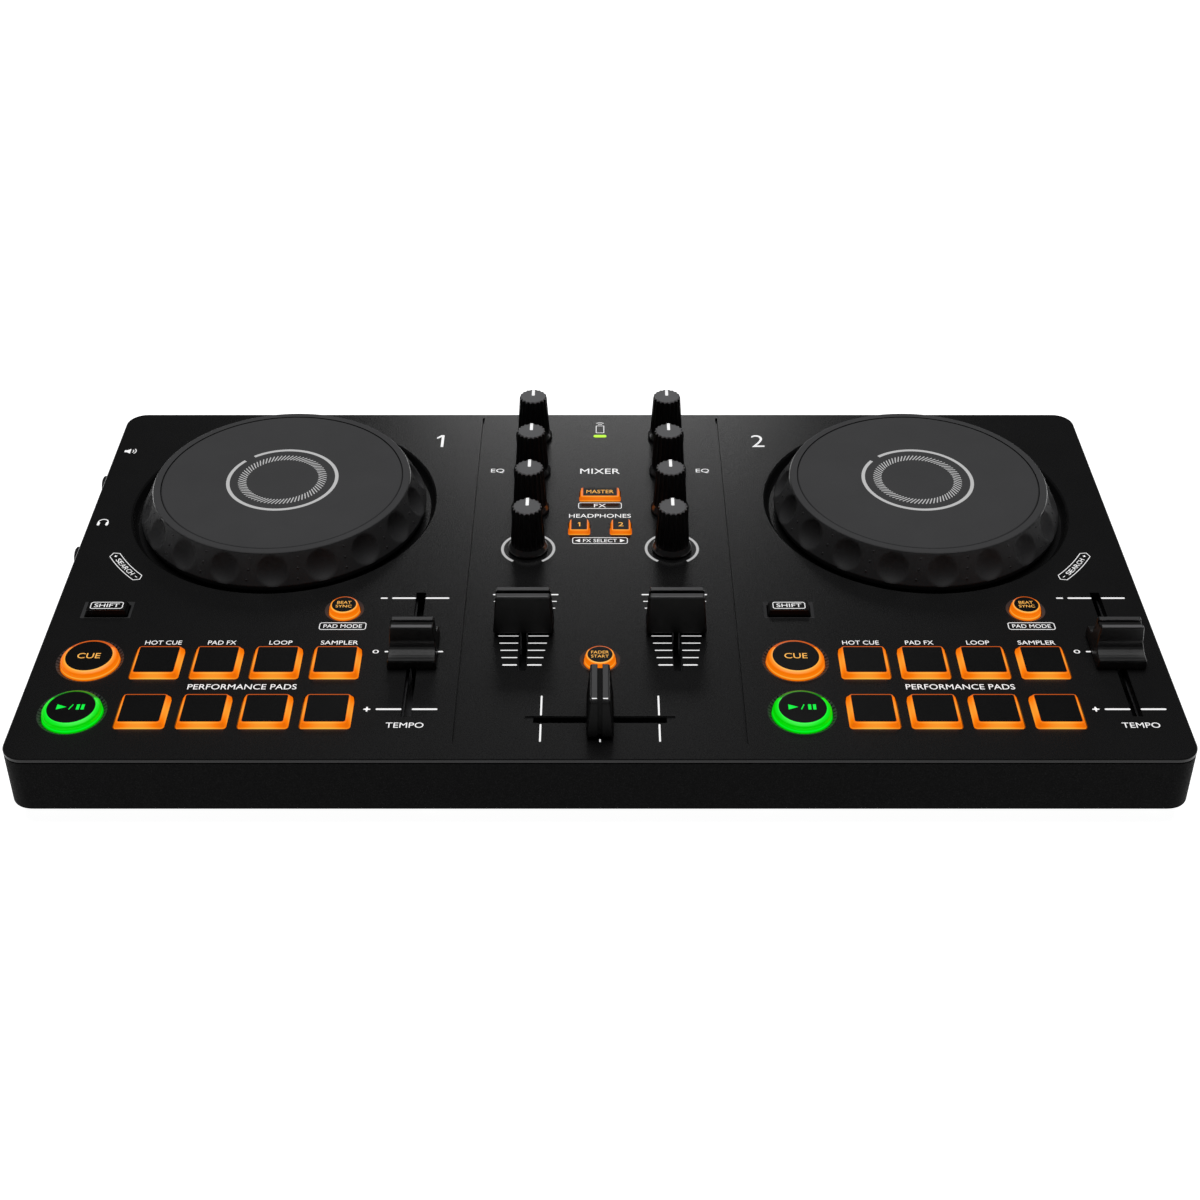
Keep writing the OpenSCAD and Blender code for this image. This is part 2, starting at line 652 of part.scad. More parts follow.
module jog_wheel(s) at_case() translate([s * deck_x, jog_y, 0]) {
  difference() {
    translate([0, 0, panel_z]) rotate_extrude()
      polygon([
        [axle_radius + running, wheel_z - panel_z], [hub_radius, wheel_z - panel_z],
        [hub_radius, web_z - panel_z], [encoder_radius - encoder_wall / 2, web_z - panel_z],
        [encoder_radius - encoder_wall / 2, wheel_z - panel_z],
        [encoder_radius + encoder_wall / 2, wheel_z - panel_z],
        [encoder_radius + encoder_wall / 2, web_z - panel_z],
        [platter_radius + 0.6, web_z - panel_z], [platter_radius + 0.6, wheel_z - panel_z],
        [jog_radius - 0.3, wheel_z - panel_z], [jog_radius, 0],
        [jog_top_radius, jog_height - 0.5], [jog_top_radius - 0.5, jog_height],
        [platter_radius + 0.3, jog_height],
        [platter_radius + 0.3, jog_height - platter_thickness],
        [platter_radius - 2.4, jog_height - platter_thickness],
        [platter_radius - 2.4, jog_height - platter_thickness - 1.4],
        [platter_radius + 0.3, web_z - panel_z + web + 0.3],
        [platter_radius + 0.3, web_z - panel_z + web],
        [axle_radius + running, web_z - panel_z + web],
      ]);
    // Finger dimples cut square to the sloping side
    for (i = [0:dimples - 1]) rotate([0, 0, -7 + i * 360 / dimples])
      translate([dimple_r, 0, panel_z + dimple_z]) sphere(dimple_ball);
    // Slots the encoder sensors count
    for (i = [0:encoder_slots - 1]) rotate([0, 0, i * 360 / encoder_slots])
      translate([encoder_radius - 2, -1.5, wheel_z - 1]) cube([4, 3, 4.4]);
  }
}

module platter(s) at_case()
  translate([s * deck_x, jog_y, panel_z + jog_height - platter_thickness]) {
    cylinder(platter_thickness, platter_radius, platter_radius);
    // Ring that locates the disc inside the wheel
    translate([0, 0, -1.4]) difference() {
      cylinder(1.4 + eps, platter_radius - 2.5, platter_radius - 2.5);
      translate([0, 0, -1]) cylinder(4, platter_radius - 4, platter_radius - 4);
    }
  }

module left_jog_wheel() color(satin) jog_wheel(-1);
module right_jog_wheel() color(satin) jog_wheel(1);
module left_jog_platter() color([0.24, 0.24, 0.25]) platter(-1);
module right_jog_platter() color([0.24, 0.24, 0.25]) platter(1);

// ---------- knobs ----------

module knob(s, i) at_case() translate([s * knob_x, knob_y[i], 0]) {
  difference() {
    translate([0, 0, panel_z]) rotate_extrude()
      polygon([[0, 0.5], [knob_flange, 0.5], [knob_flange, 1.3], [knob_radius, 2.6],
        [knob_top_radius, knob_height - 0.4], [knob_top_radius - 0.4, knob_height],
        [0, knob_height]]);
    for (k = [0:flutes - 1]) rotate([0, 0, (k + 0.5) * 360 / flutes])
      translate([knob_radius + 0.75, 0, panel_z + 3])
        rotate([0, -lean, 0]) cylinder(knob_height, 1, 1);
    // Groove for the pointer line
    translate([-0.6, 0.2, panel_z + knob_height - 0.3]) cube([1.2, knob_top_radius, 1]);
  }
  translate([0, 0, board_top_z + 1.8])
    cylinder(panel_z + 1 - board_top_z - 1.8, shaft_radius, shaft_radius);
}

module left_high_knob() color(gloss) knob(-1, 0);
module left_mid_knob() color(gloss) knob(-1, 1);
module left_low_knob() color(gloss) knob(-1, 2);
module left_filter_knob() color(gloss) knob(-1, 3);
module right_high_knob() color(gloss) knob(1, 0);
module right_mid_knob() color(gloss) knob(1, 1);
module right_low_knob() color(gloss) knob(1, 2);
module right_filter_knob() color(gloss) knob(1, 3);

module level_knob(i) at_case() translate([0, level_y[i], level_z]) rotate([0, -90, 0]) {
  difference() {
    translate([0, 0, case_width / 2 - level_inner]) rotate_extrude()
      polygon([[0, 0], [level_radius, 0], [level_radius, level_inner + level_reach - 0.5],
        [level_radius - 0.5, level_inner + level_reach], [0, level_inner + level_reach]]);
    for (k = [0:17]) rotate([0, 0, k * 20])
      translate([level_radius + 0.45, 0, case_width / 2 + 0.4]) cylinder(20, 0.7, 0.7);
  }
  translate([0, 0, board_x + 1.8])
    cylinder(case_width / 2 - level_inner + 0.5 - board_x - 1.8, shaft_radius, shaft_radius);
}

module master_level_knob() color(gloss) level_knob(0);
module headphone_level_knob() color(gloss) level_knob(1);

// ---------- sliders ----------

// Blade under a cap that reaches through the slot into the slider unit, along Y
module lever(length) translate([-lever_thickness / 2, -length / 2, lever_z])
  cube([lever_thickness, length, panel_z + fader_cap_gap + 0.5 - lever_z]);

// Tall cap with a grip groove along the top and down its ends, long side along X
module fin_cap() translate([0, 0, panel_z + fader_cap_gap]) difference() {
  intersection() {
    tapered(fader_cap_length, fader_cap_width, fader_cap_length - 2 * cap_end_inset,
      fader_cap_width - 2.7, fader_cap_height - fader_cap_gap);
    slab(fader_cap_length, fader_cap_width, 1.2, fader_cap_height);
  }
  translate([-fader_cap_length, 0, fader_cap_height - fader_cap_gap]) rotate([90, 0, 90])
    linear_extrude(2 * fader_cap_length)
      polygon([[-0.8, 0.1], [-0.6, -1.2], [0.6, -1.2], [0.8, 0.1]]);
  // The groove runs on down both ends
  for (e = [0, 1]) mirror([e, 0, 0]) translate([fader_cap_length / 2 - 0.4, -0.8, -1])
    rotate([0, -cap_lean, 0]) cube([3, 1.6, fader_cap_height + 2]);
}

module channel_fader(s) at_case() translate([s * knob_x, channel_y, 0]) {
  fin_cap();
  lever(channel_lever);
}

// Saddle cap: a grip ridge across the middle, with a curved skirt before and behind
module tempo_slider(s) at_case() translate([s * deck_x + tempo_x, tempo_y, 0]) {
  translate([0, 0, panel_z + 0.5]) difference() {
    intersection() {
      tapered(tempo_cap_width, tempo_cap_length, tempo_cap_width - 2.2, tempo_cap_length,
        tempo_cap_height - 0.5);
      translate([-tempo_cap_width / 2, -tempo_cap_length / 2, 0])
        cube([tempo_cap_width, tempo_cap_length, tempo_cap_height - 0.5]);
    }
    // Curved skirts
    for (a = [-1, 1]) translate([-tempo_cap_width, a * skirt_y, skirt_centre_z])
      rotate([0, 90, 0]) cylinder(2 * tempo_cap_width, skirt_radius, skirt_radius);
    // Flat cut above the low lip
    for (a = [-1, 1]) translate([-tempo_cap_width, a * (skirt_y + 10) - 10, 3.6])
      cube([2 * tempo_cap_width, 20, 20]);
    // Groove along the ridge
    translate([-tempo_cap_width, -1.4, tempo_cap_height - 0.9])
      cube([2 * tempo_cap_width, 2.8, 1]);
  }
  lever(tempo_lever);
}

module left_tempo_slider() color(gloss) tempo_slider(-1);
module right_tempo_slider() color(gloss) tempo_slider(1);
module left_channel_fader() color(gloss) channel_fader(-1);
module right_channel_fader() color(gloss) channel_fader(1);
module crossfader() color(gloss) at_case() translate([0, cross_y, 0]) rotate([0, 0, 90]) {
  fin_cap();
  lever(cross_lever);
}

// ---------- pads and buttons ----------

// Square pad: a sloping light skirt, a raised flat top, a flange that holds it under the
// panel and a plunger over its rubber dome
module pad(s, n) at_case()
  translate([s * deck_x + column_x[(n - 1) % 4], row_y[n > 4 ? 1 : 0], 0]) {
    translate([0, 0, flange_z]) slab(pad_size + 2, pad_size + 2, 1.6, flange);
    translate([0, 0, flange_z]) slab(pad_size, pad_size, 0.9, panel_z + 0.1 - flange_z);
    intersection() {
      translate([0, 0, panel_z + 0.1])
        tapered(pad_size, pad_size, pad_top + 0.8, pad_top + 0.8, pad_height - 0.3);
      translate([0, 0, panel_z]) slab(pad_size, pad_size, 0.9, pad_height);
    }
    translate([0, 0, panel_z]) slab(pad_top, pad_top, 0.6, pad_height);
    translate([-4, -4, pad_plunger_z]) cube([8, 8, flange_z - pad_plunger_z + eps]);
  }

module left_pad_1() color(amber) pad(-1, 1);
module left_pad_2() color(amber) pad(-1, 2);
module left_pad_3() color(amber) pad(-1, 3);
module left_pad_4() color(amber) pad(-1, 4);
module left_pad_5() color(amber) pad(-1, 5);
module left_pad_6() color(amber) pad(-1, 6);
module left_pad_7() color(amber) pad(-1, 7);
module left_pad_8() color(amber) pad(-1, 8);
module right_pad_1() color(amber) pad(1, 1);
module right_pad_2() color(amber) pad(1, 2);
module right_pad_3() color(amber) pad(1, 3);
module right_pad_4() color(amber) pad(1, 4);
module right_pad_5() color(amber) pad(1, 5);
module right_pad_6() color(amber) pad(1, 6);
module right_pad_7() color(amber) pad(1, 7);
module right_pad_8() color(amber) pad(1, 8);

// Round button of radius r, h above the panel
module round_button(x, y, r, h) at_case() translate([x, y, 0]) {
  translate([0, 0, panel_z]) rotate_extrude()
    polygon([[0, flange_z - panel_z], [r + 1, flange_z - panel_z], [r + 1, flange_top_z - panel_z],
      [r, flange_top_z - panel_z], [r, 0.45 * h], [r - 0.45, 0.65 * h], [0.8 * r, h - 0.15],
      [0.8 * r - 0.15, h], [0, h]]);
  translate([0, 0, plunger_z]) cylinder(flange_z - plunger_z + eps, 2, 2);
}

// Rectangular button, w by d at the foot, top_w by top_d on top, h above the panel
module rect_button(x, y, w, d, top_w, top_d, h) at_case() translate([x, y, 0]) {
  translate([0, 0, flange_z]) slab(w + 2, d + 2, 1, flange);
  translate([0, 0, flange_z]) slab(w, d, 0.5, panel_z + 0.3 - flange_z);
  translate([0, 0, panel_z + 0.3 - eps]) tapered(w - 0.3, d - 0.3, top_w, top_d, h - 0.3 + eps);
  translate([0, 0, plunger_z]) cylinder(flange_z - plunger_z + eps, 2, 2);
}

module left_cue_button() color(amber) round_button(cue_x - deck_x, cue_y, cue_radius, cue_height);
module right_cue_button() color(amber) round_button(cue_x + deck_x, cue_y, cue_radius, cue_height);
module left_play_button() color(green)
  round_button(cue_x - deck_x, play_y, cue_radius, cue_height);
module right_play_button() color(green)
  round_button(cue_x + deck_x, play_y, cue_radius, cue_height);
module left_sync_button() color(amber)
  round_button(sync_x - deck_x, sync_y, sync_radius, sync_height);
module right_sync_button() color(amber)
  round_button(sync_x + deck_x, sync_y, sync_radius, sync_height);
module left_shift_button() color(gloss)
  rect_button(cue_x - deck_x, shift_y, shift_width, shift_depth, shift_width - 0.9,
    shift_depth - 0.9, 2);
module right_shift_button() color(gloss)
  rect_button(cue_x + deck_x, shift_y, shift_width, shift_depth, shift_width - 0.9,
    shift_depth - 0.9, 2);
module fader_start_button() color(amber)
  round_button(0, fader_start_y, sync_radius, sync_height);
module master_cue_button() color(amber)
  rect_button(0, master_y, master_width, 6.4, master_width - 0.9, 5.9, 2.1);
module headphone_cue_1() color(amber)
  rect_button(-phones_x, phones_y, phones_width, 7.4, phones_width - 0.9, 6.9, 2);
module headphone_cue_2() color(amber)
  rect_button(phones_x, phones_y, phones_width, 7.4, phones_width - 0.9, 6.9, 2);

// ---------- assembly ----------

top_panel();
bottom_case();
main_board();
pad_keymats();
fader_units();
knob_potentiometers();
jog_axles();
usb_sockets();
phono_sockets();
headphone_socket();
rubber_feet();
case_screws();
status_light();
left_jog_wheel();
left_jog_platter();
right_jog_wheel();
right_jog_platter();
left_high_knob();
left_mid_knob();
left_low_knob();
left_filter_knob();
right_high_knob();
right_mid_knob();
right_low_knob();
right_filter_knob();
left_tempo_slider();
right_tempo_slider();
left_channel_fader();
right_channel_fader();
crossfader();
left_pad_1();
left_pad_2();
left_pad_3();
left_pad_4();
left_pad_5();
left_pad_6();
left_pad_7();
left_pad_8();
right_pad_1();
right_pad_2();
right_pad_3();
right_pad_4();
right_pad_5();
right_pad_6();
right_pad_7();
right_pad_8();
left_cue_button();
right_cue_button();
left_play_button();
right_play_button();
left_sync_button();
right_sync_button();
left_shift_button();
right_shift_button();
fader_start_button();
master_cue_button();
headphone_cue_1();
headphone_cue_2();
master_level_knob();
headphone_level_knob();
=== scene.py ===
"""The looks of a two-deck DJ controller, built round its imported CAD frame.

Sizes are millimetres in the case's own coordinates: x from the middle of the case,
y from its front edge and z above the top of the panel. place() turns them into the
frame's metres.
"""

import math

import bmesh
import bpy
import numpy as np
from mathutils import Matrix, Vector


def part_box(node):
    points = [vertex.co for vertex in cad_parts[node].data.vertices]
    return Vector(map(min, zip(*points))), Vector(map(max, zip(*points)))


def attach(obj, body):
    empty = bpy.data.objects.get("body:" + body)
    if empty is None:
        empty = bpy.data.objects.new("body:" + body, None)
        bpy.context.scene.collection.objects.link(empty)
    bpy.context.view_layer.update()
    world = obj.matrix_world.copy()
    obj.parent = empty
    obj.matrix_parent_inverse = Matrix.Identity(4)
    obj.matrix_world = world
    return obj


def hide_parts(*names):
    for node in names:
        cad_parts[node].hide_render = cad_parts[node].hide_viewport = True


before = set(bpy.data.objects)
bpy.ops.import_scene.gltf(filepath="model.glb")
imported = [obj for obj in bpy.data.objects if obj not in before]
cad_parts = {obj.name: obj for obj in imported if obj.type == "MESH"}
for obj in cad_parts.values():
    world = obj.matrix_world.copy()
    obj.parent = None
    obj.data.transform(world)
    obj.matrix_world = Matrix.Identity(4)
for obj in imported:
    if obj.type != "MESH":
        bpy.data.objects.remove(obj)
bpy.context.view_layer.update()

MM = 0.001
panel_low, panel_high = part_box("top_panel")
MID_X = (panel_low.x + panel_high.x) / 2
FRONT_Y = panel_low.y
PANEL_Z = panel_high.z
CASE_DEPTH = (panel_high.y - panel_low.y) / MM
PRINT = 0.035  # thickness of printed ink
LABEL_LINE = 0.28  # width of the line round a framed label
FLANGE_OVERHANG = 1.0  # how far the flange of a button or pad reaches past its top
SIDES = {"left": -1, "right": 1}


def place(x, y, z):
    """A point of the case's coordinates, in millimetres, as a point of the frame."""
    return (MID_X + x * MM, FRONT_Y + y * MM, PANEL_Z + z * MM)


def case_box(node):
    """Middle (x, y) of a CAD node, and its (lowest, highest) corners, in case millimetres."""
    low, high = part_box(node)
    origin = np.array(place(0, 0, 0))
    low, high = (np.array(low) - origin) / MM, (np.array(high) - origin) / MM
    return (low + high)[:2] / 2, low, high


DECK_X = {side: case_box(f"{side}_jog_platter")[0][0] for side in SIDES}
JOG_Y = case_box("left_jog_platter")[0][1]


# ---------- camera, light and floor ----------


def make_camera():
    """Stands in front of the case and looks 34.9 degrees down."""
    data = bpy.data.cameras.new("camera")
    data.sensor_width = 36
    data.lens = 57.4
    data.shift_y = -0.0535
    camera = bpy.data.objects.new("camera", data)
    camera.location = place(0, -459.9, 407.9)
    camera.rotation_euler = (math.radians(90 - 34.9), 0, 0)
    bpy.context.scene.collection.objects.link(camera)
    bpy.context.scene.camera = camera


def area_light(name, at, towards, width, depth, watts):
    data = bpy.data.lights.new(name, "AREA")
    data.shape = "RECTANGLE"
    data.size, data.size_y = width, depth
    data.energy = watts
    light = bpy.data.objects.new(name, data)
    start, end = np.array(place(*at)), np.array(place(*towards))
    light.location = start
    aim = end - start
    light.rotation_euler = (
        math.atan2(math.hypot(aim[0], aim[1]), -aim[2]),
        0,
        math.atan2(aim[1], aim[0]) - math.pi / 2,
    )
    bpy.context.scene.collection.objects.link(light)


def make_studio():
    """Broad overhead light, a low softbox behind the case, and a dim surrounding."""
    middle = (0, CASE_DEPTH / 2, 0)
    sun = bpy.data.lights.new("overhead", "SUN")
    sun.energy = 1.2
    sun.angle = math.radians(50)
    overhead = bpy.data.objects.new("overhead", sun)
    overhead.rotation_euler = (math.radians(-12), 0, 0)
    bpy.context.scene.collection.objects.link(overhead)
    area_light("back_softbox", (0, 1500, 660), middle, 0.42, 0.22, 1.45)

    world = bpy.data.worlds.new("studio")
    world.use_nodes = True
    world.node_tree.nodes["Background"].inputs["Color"].default_value = (0.03, 0.03, 0.031, 1)
    bpy.context.scene.world = world
    bpy.context.scene.view_settings.view_transform = "Standard"


def make_floor():
    """White paper, lit so that it stays evenly pale."""
    paper, _, shader = new_material("floor_paper")
    shader.inputs["Base Color"].default_value = (0.9, 0.9, 0.9, 1)
    shader.inputs["Roughness"].default_value = 0.9
    shader.inputs["Emission Color"].default_value = (1, 1, 1, 1)
    shader.inputs["Emission Strength"].default_value = 0.97
    mesh = bpy.data.meshes.new("floor")
    reach = 12
    mesh.from_pydata([(x * reach, y * reach, 0) for x, y in
                      ((-1, -1), (1, -1), (1, 1), (-1, 1))], [], [(0, 1, 2, 3)])
    mesh.materials.append(paper)
    floor = bpy.data.objects.new("floor", mesh)
    bpy.context.scene.collection.objects.link(floor)


# ---------- materials ----------


def new_material(name):
    material = bpy.data.materials.new(name)
    material.use_nodes = True
    tree = material.node_tree
    return material, tree, tree.nodes["Principled BSDF"]


def noise(tree, scale, detail):
    """Noise whose grain repeats about every 1/scale metres."""
    coordinates = tree.nodes.new("ShaderNodeTexCoord")
    texture = tree.nodes.new("ShaderNodeTexNoise")
    texture.inputs["Scale"].default_value = scale
    texture.inputs["Detail"].default_value = detail
    tree.links.new(coordinates.outputs["Object"], texture.inputs["Vector"])
    return texture.outputs[0]


def ramp(tree, value, stops):
    """Colour ramp through (position, colour) stops."""
    node = tree.nodes.new("ShaderNodeValToRGB")
    elements = node.color_ramp.elements
    while len(elements) < len(stops):
        elements.new(0.5)
    for element, (position, colour) in zip(elements, stops):
        element.position = position
        element.color = (*colour, 1)
    tree.links.new(value, node.inputs["Fac"])
    return node.outputs["Color"]


def spread(tree, value, low, high):
    """Maps a noise, which is mostly between 0.3 and 0.7, on to low to high."""
    node = tree.nodes.new("ShaderNodeMapRange")
    node.inputs["From Min"].default_value = 0.3
    node.inputs["From Max"].default_value = 0.7
    node.inputs["To Min"].default_value = low
    node.inputs["To Max"].default_value = high
    tree.links.new(value, node.inputs["Value"])
    return node.outputs["Result"]


def bump(tree, shader, height, distance, strength=1.0):
    node = tree.nodes.new("ShaderNodeBump")
    node.inputs["Strength"].default_value = strength
    node.inputs["Distance"].default_value = distance
    tree.links.new(height, node.inputs["Height"])
    tree.links.new(node.outputs["Normal"], shader.inputs["Normal"])


def grey(level):
    return (level, level, level * 1.03)


def plastic(name, level, rough, grain, depth, mottle=0.12, specular=0.5, coat=0.0):
    """Moulded dark plastic. grain is the size of its texture and depth its height, both in
    millimetres; mottle is how much the colour varies."""
    material, tree, shader = new_material(name)
    fine = noise(tree, 1 / (grain * MM), 3)
    broad = noise(tree, 60, 4)
    colour = ramp(tree, broad, [(0.25, grey(level * (1 - mottle))),
                                (0.75, grey(level * (1 + mottle)))])
    tree.links.new(colour, shader.inputs["Base Color"])
    tree.links.new(spread(tree, fine, rough - 0.06, rough + 0.06), shader.inputs["Roughness"])
    shader.inputs["Specular IOR Level"].default_value = specular
    shader.inputs["Coat Weight"].default_value = coat
    shader.inputs["Coat Roughness"].default_value = 0.12
    bump(tree, shader, fine, depth * MM)
    return material


def sparkle_plastic(name, level, rough):
    """Black wall plastic with a coarse grain, and lighter flecks painted into its colour as glints
    where the grain catches the light.
    """
    material, tree, shader = new_material(name)
    grain = noise(tree, 2200, 1)
    painted_glints = noise(tree, 3100, 0)
    colour = ramp(tree, painted_glints, [(0.0, grey(level)), (0.6, grey(level)), (0.72, grey(level * 3))])
    tree.links.new(colour, shader.inputs["Base Color"])
    tree.links.new(spread(tree, grain, rough - 0.12, rough + 0.12), shader.inputs["Roughness"])
    shader.inputs["Specular IOR Level"].default_value = 0.03
    bump(tree, shader, grain, 0.12 * MM, 0.6)
    return material


def metal(name, level, rough):
    """Plated or turned steel with fine uneven marks."""
    material, tree, shader = new_material(name)
    marks = noise(tree, 900, 4)
    colour = ramp(tree, marks, [(0.3, grey(level * 0.85)), (0.7, grey(level * 1.1))])
    tree.links.new(colour, shader.inputs["Base Color"])
    tree.links.new(spread(tree, marks, rough - 0.08, rough + 0.1), shader.inputs["Roughness"])
    shader.inputs["Metallic"].default_value = 1
    bump(tree, shader, marks, 0.01 * MM, 0.5)
    return material


def lit(name, dim, middle, bright, strength, body):
    """Translucent plastic lit from inside. Each mesh says how brightly it is lit where,
    in its glow attribute, which also carries painted highlights and painted shade."""
    material, tree, shader = new_material(name)
    glow = tree.nodes.new("ShaderNodeAttribute")
    glow.attribute_name = "glow"
    colour = ramp(tree, glow.outputs["Fac"], [(0.0, dim), (0.5, middle), (1.0, bright)])
    tree.links.new(colour, shader.inputs["Emission Color"])
    shader.inputs["Emission Strength"].default_value = strength
    haze = noise(tree, 900, 2)
    tint = ramp(tree, haze, [(0.3, tuple(c * 0.8 for c in body)), (0.7, body)])
    tree.links.new(tint, shader.inputs["Base Color"])
    shader.inputs["Roughness"].default_value = 0.35
    bump(tree, shader, haze, 0.01 * MM, 0.4)
    return material


def ink(name, colour, glow):
    """Screen-printed ink, slightly uneven, with a painted glow that keeps it bright in shade."""
    material, tree, shader = new_material(name)
    cover = noise(tree, 4000, 2)
    shade = ramp(tree, cover, [(0.3, tuple(c * 0.92 for c in colour)), (0.6, colour)])
    tree.links.new(shade, shader.inputs["Base Color"])
    tree.links.new(shade, shader.inputs["Emission Color"])
    shader.inputs["Emission Strength"].default_value = glow
    shader.inputs["Roughness"].default_value = 0.55
    shader.inputs["Specular IOR Level"].default_value = 0.2
    bump(tree, shader, cover, 0.005 * MM, 0.3)
    return material


def board_material():
    """Green solder mask with a darker pattern of tracks."""
    material, tree, shader = new_material("solder_mask")
    coordinates = tree.nodes.new("ShaderNodeTexCoord")
    tracks = tree.nodes.new("ShaderNodeTexVoronoi")
    tracks.distance = "CHEBYCHEV"
    tracks.inputs["Scale"].default_value = 260
    tree.links.new(coordinates.outputs["Object"], tracks.inputs["Vector"])
    colour = ramp(tree, tracks.outputs["Distance"], [(0.1, (0.01, 0.07, 0.03)),
                                                     (0.45, (0.02, 0.14, 0.06))])
    tree.links.new(colour, shader.inputs["Base Color"])
    shader.inputs["Roughness"].default_value = 0.35
    bump(tree, shader, tracks.outputs["Distance"], 0.05 * MM, 0.5)
    return material


def rubber(name, colour, rough):
    """Matt rubber or silicone with a dusty, uneven colour."""
    material, tree, shader = new_material(name)
    dust = noise(tree, 700, 4)
    shade = ramp(tree, dust, [(0.3, tuple(c * 0.85 for c in colour)), (0.8, colour)])
    tree.links.new(shade, shader.inputs["Base Color"])
    tree.links.new(spread(tree, dust, rough - 0.08, rough + 0.08), shader.inputs["Roughness"])
    bump(tree, shader, dust, 0.06 * MM, 0.5)
    return material


# ---------- shapes ----------


def circle(radius, z, count, x=0.0, y=0.0):
    angles = np.arange(count) * 2 * math.pi / count
    return [(x + radius * math.cos(a), y + radius * math.sin(a), z) for a in angles]


def box_ring(width, depth, corner, z, x=0.0, y=0.0, corner_steps=5, side_steps=6):
    """Rectangle with round corners as a ring of points, with extra points along its sides."""
    points = []
    corners = ((1, 1, 0), (-1, 1, 90), (-1, -1, 180), (1, -1, 270))
    for sx, sy, start in corners:
        cx, cy = sx * (width / 2 - corner), sy * (depth / 2 - corner)
        for k in range(corner_steps + 1):
            a = math.radians(start + 90 * k / corner_steps)
            points.append((x + cx + corner * math.cos(a), y + cy + corner * math.sin(a), z))
    full = []
    for k, point in enumerate(points):
        full.append(point)
        if k % (corner_steps + 1) == corner_steps:
            following = points[(k + 1) % len(points)]
            for j in range(1, side_steps):
                t = j / side_steps
                full.append(tuple(a + (b - a) * t for a, b in zip(point, following)))
    return full


def rounded(points, radius, closed=False, steps=3):
    """A line of (u, v) points with each corner turned into a small arc. radius is one
    number, or one for each point."""
    radii = radius if hasattr(radius, "__len__") else [radius] * len(points)
    out = []
    for k, point in enumerate(points):
        if not closed and k in (0, len(points) - 1) or radii[k] <= 0:
            out.append(tuple(point))
            continue
        here = np.array(point, float)
        before = np.array(points[k - 1], float) - here
        after = np.array(points[(k + 1) % len(points)], float) - here
        lengths = np.linalg.norm(before), np.linalg.norm(after)
        cut = min(radii[k], 0.45 * lengths[0], 0.45 * lengths[1])
        start, end = here + before / lengths[0] * cut, here + after / lengths[1] * cut
        for j in range(steps + 1):
            t = j / steps
            out.append(tuple((1 - t) ** 2 * start + 2 * t * (1 - t) * here + t * t * end))
    return out


def shrunk(points, distance):
    """A closed outline, run anticlockwise, moved inwards by distance."""
    moved = []
    for k, point in enumerate(points):
        here = np.array(point, float)
        a = here - np.array(points[k - 1], float)
        b = np.array(points[(k + 1) % len(points)], float) - here
        normals = [np.array([-v[1], v[0]]) / max(np.linalg.norm(v), 1e-9) for v in (a, b)]
        middle = normals[0] + normals[1]
        middle /= max(np.linalg.norm(middle), 1e-9)
        moved.append(tuple(here + middle * distance / max(middle @ normals[0], 0.5)))
    return moved


class Shape:
    """Closed shells, in case millimetres, gathered into one mesh. Each face has a material
    number and each point a glow."""

    def __init__(self):
        self.points, self.faces, self.finish, self.glow = [], [], [], []

    def add(self, points, faces, finish=0, glow=1.0):
        start = len(self.points)
        self.points.extend(tuple(float(c) for c in p) for p in points)
        self.faces.extend(tuple(start + k for k in f) for f in faces)
        numbers = finish if hasattr(finish, "__len__") else [finish] * len(faces)
        self.finish.extend(numbers)
        self.glow.extend(glow if hasattr(glow, "__len__") else [glow] * len(points))

    def loft(self, rings, finish=0, glow=1.0, wrap=False):
        """Skins rings of equal length. finish is one number, or one for each band between
        rings, then the first and last caps. A wrapped loft closes on itself."""
        count, bands = len(rings[0]), len(rings) if wrap else len(rings) - 1
        faces, numbers = [], []
        for band in range(bands):
            a, b = band * count, (band + 1) % len(rings) * count
            for k in range(count):
                j = (k + 1) % count
                faces.append((a + k, a + j, b + j, b + k))
            numbers += [finish[band] if hasattr(finish, "__len__") else finish] * count
        if not wrap:
            last = (len(rings) - 1) * count
            faces += [tuple(range(count - 1, -1, -1)), tuple(range(last, last + count))]
            numbers += [finish[-2], finish[-1]] if hasattr(finish, "__len__") else [finish] * 2
        self.add([p for ring in rings for p in ring], faces, numbers, glow)

    def lathe(self, profile, x, y, finish=0, glow=1.0, count=96, wrap=False):
        """Turns (radius, z) points round an upright axis."""
        self.loft([circle(r, z, count, x, y) for r, z in profile], finish, glow, wrap)

    def strip(self, outer, inner, z_low, z_high):
        """Flat band between two rings of (x, y) points."""
        self.loft([[(x, y, z) for x, y in ring] for ring, z in
                   ((outer, z_low), (outer, z_high), (inner, z_high), (inner, z_low))], wrap=True)

    def plate(self, outline, z_low, z_high):
        """Flat plate with a plain outline of (x, y) points."""
        self.loft([[(x, y, z) for x, y in outline] for z in (z_low, z_high)])

    def build(self, name, body, slot, materials, sharp=32):
        """Makes the piece, which rides on that body. Edges over sharp degrees stay crisp."""
        mesh = bpy.data.meshes.new(name)
        mesh.from_pydata([place(*p) for p in self.points], [], self.faces)
        mesh.polygons.foreach_set("material_index", self.finish)
        mesh.polygons.foreach_set("use_smooth", [True] * len(self.faces))
        mesh.attributes.new("glow", "FLOAT", "POINT").data.foreach_set("value", self.glow)
        for material in materials:
            mesh.materials.append(material)
        work = bmesh.new()
        work.from_mesh(mesh)
        bmesh.ops.recalc_face_normals(work, faces=work.faces)
        work.to_mesh(mesh)
        work.free()
        mesh.set_sharp_from_angle(angle=math.radians(sharp))
        piece = bpy.data.objects.new(name, mesh)
        piece.modifiers.new("even_normals", "WEIGHTED_NORMAL").keep_sharp = True
        bpy.context.scene.collection.objects.link(piece)
        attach(piece, body)
        return piece


# ---------- printing ----------


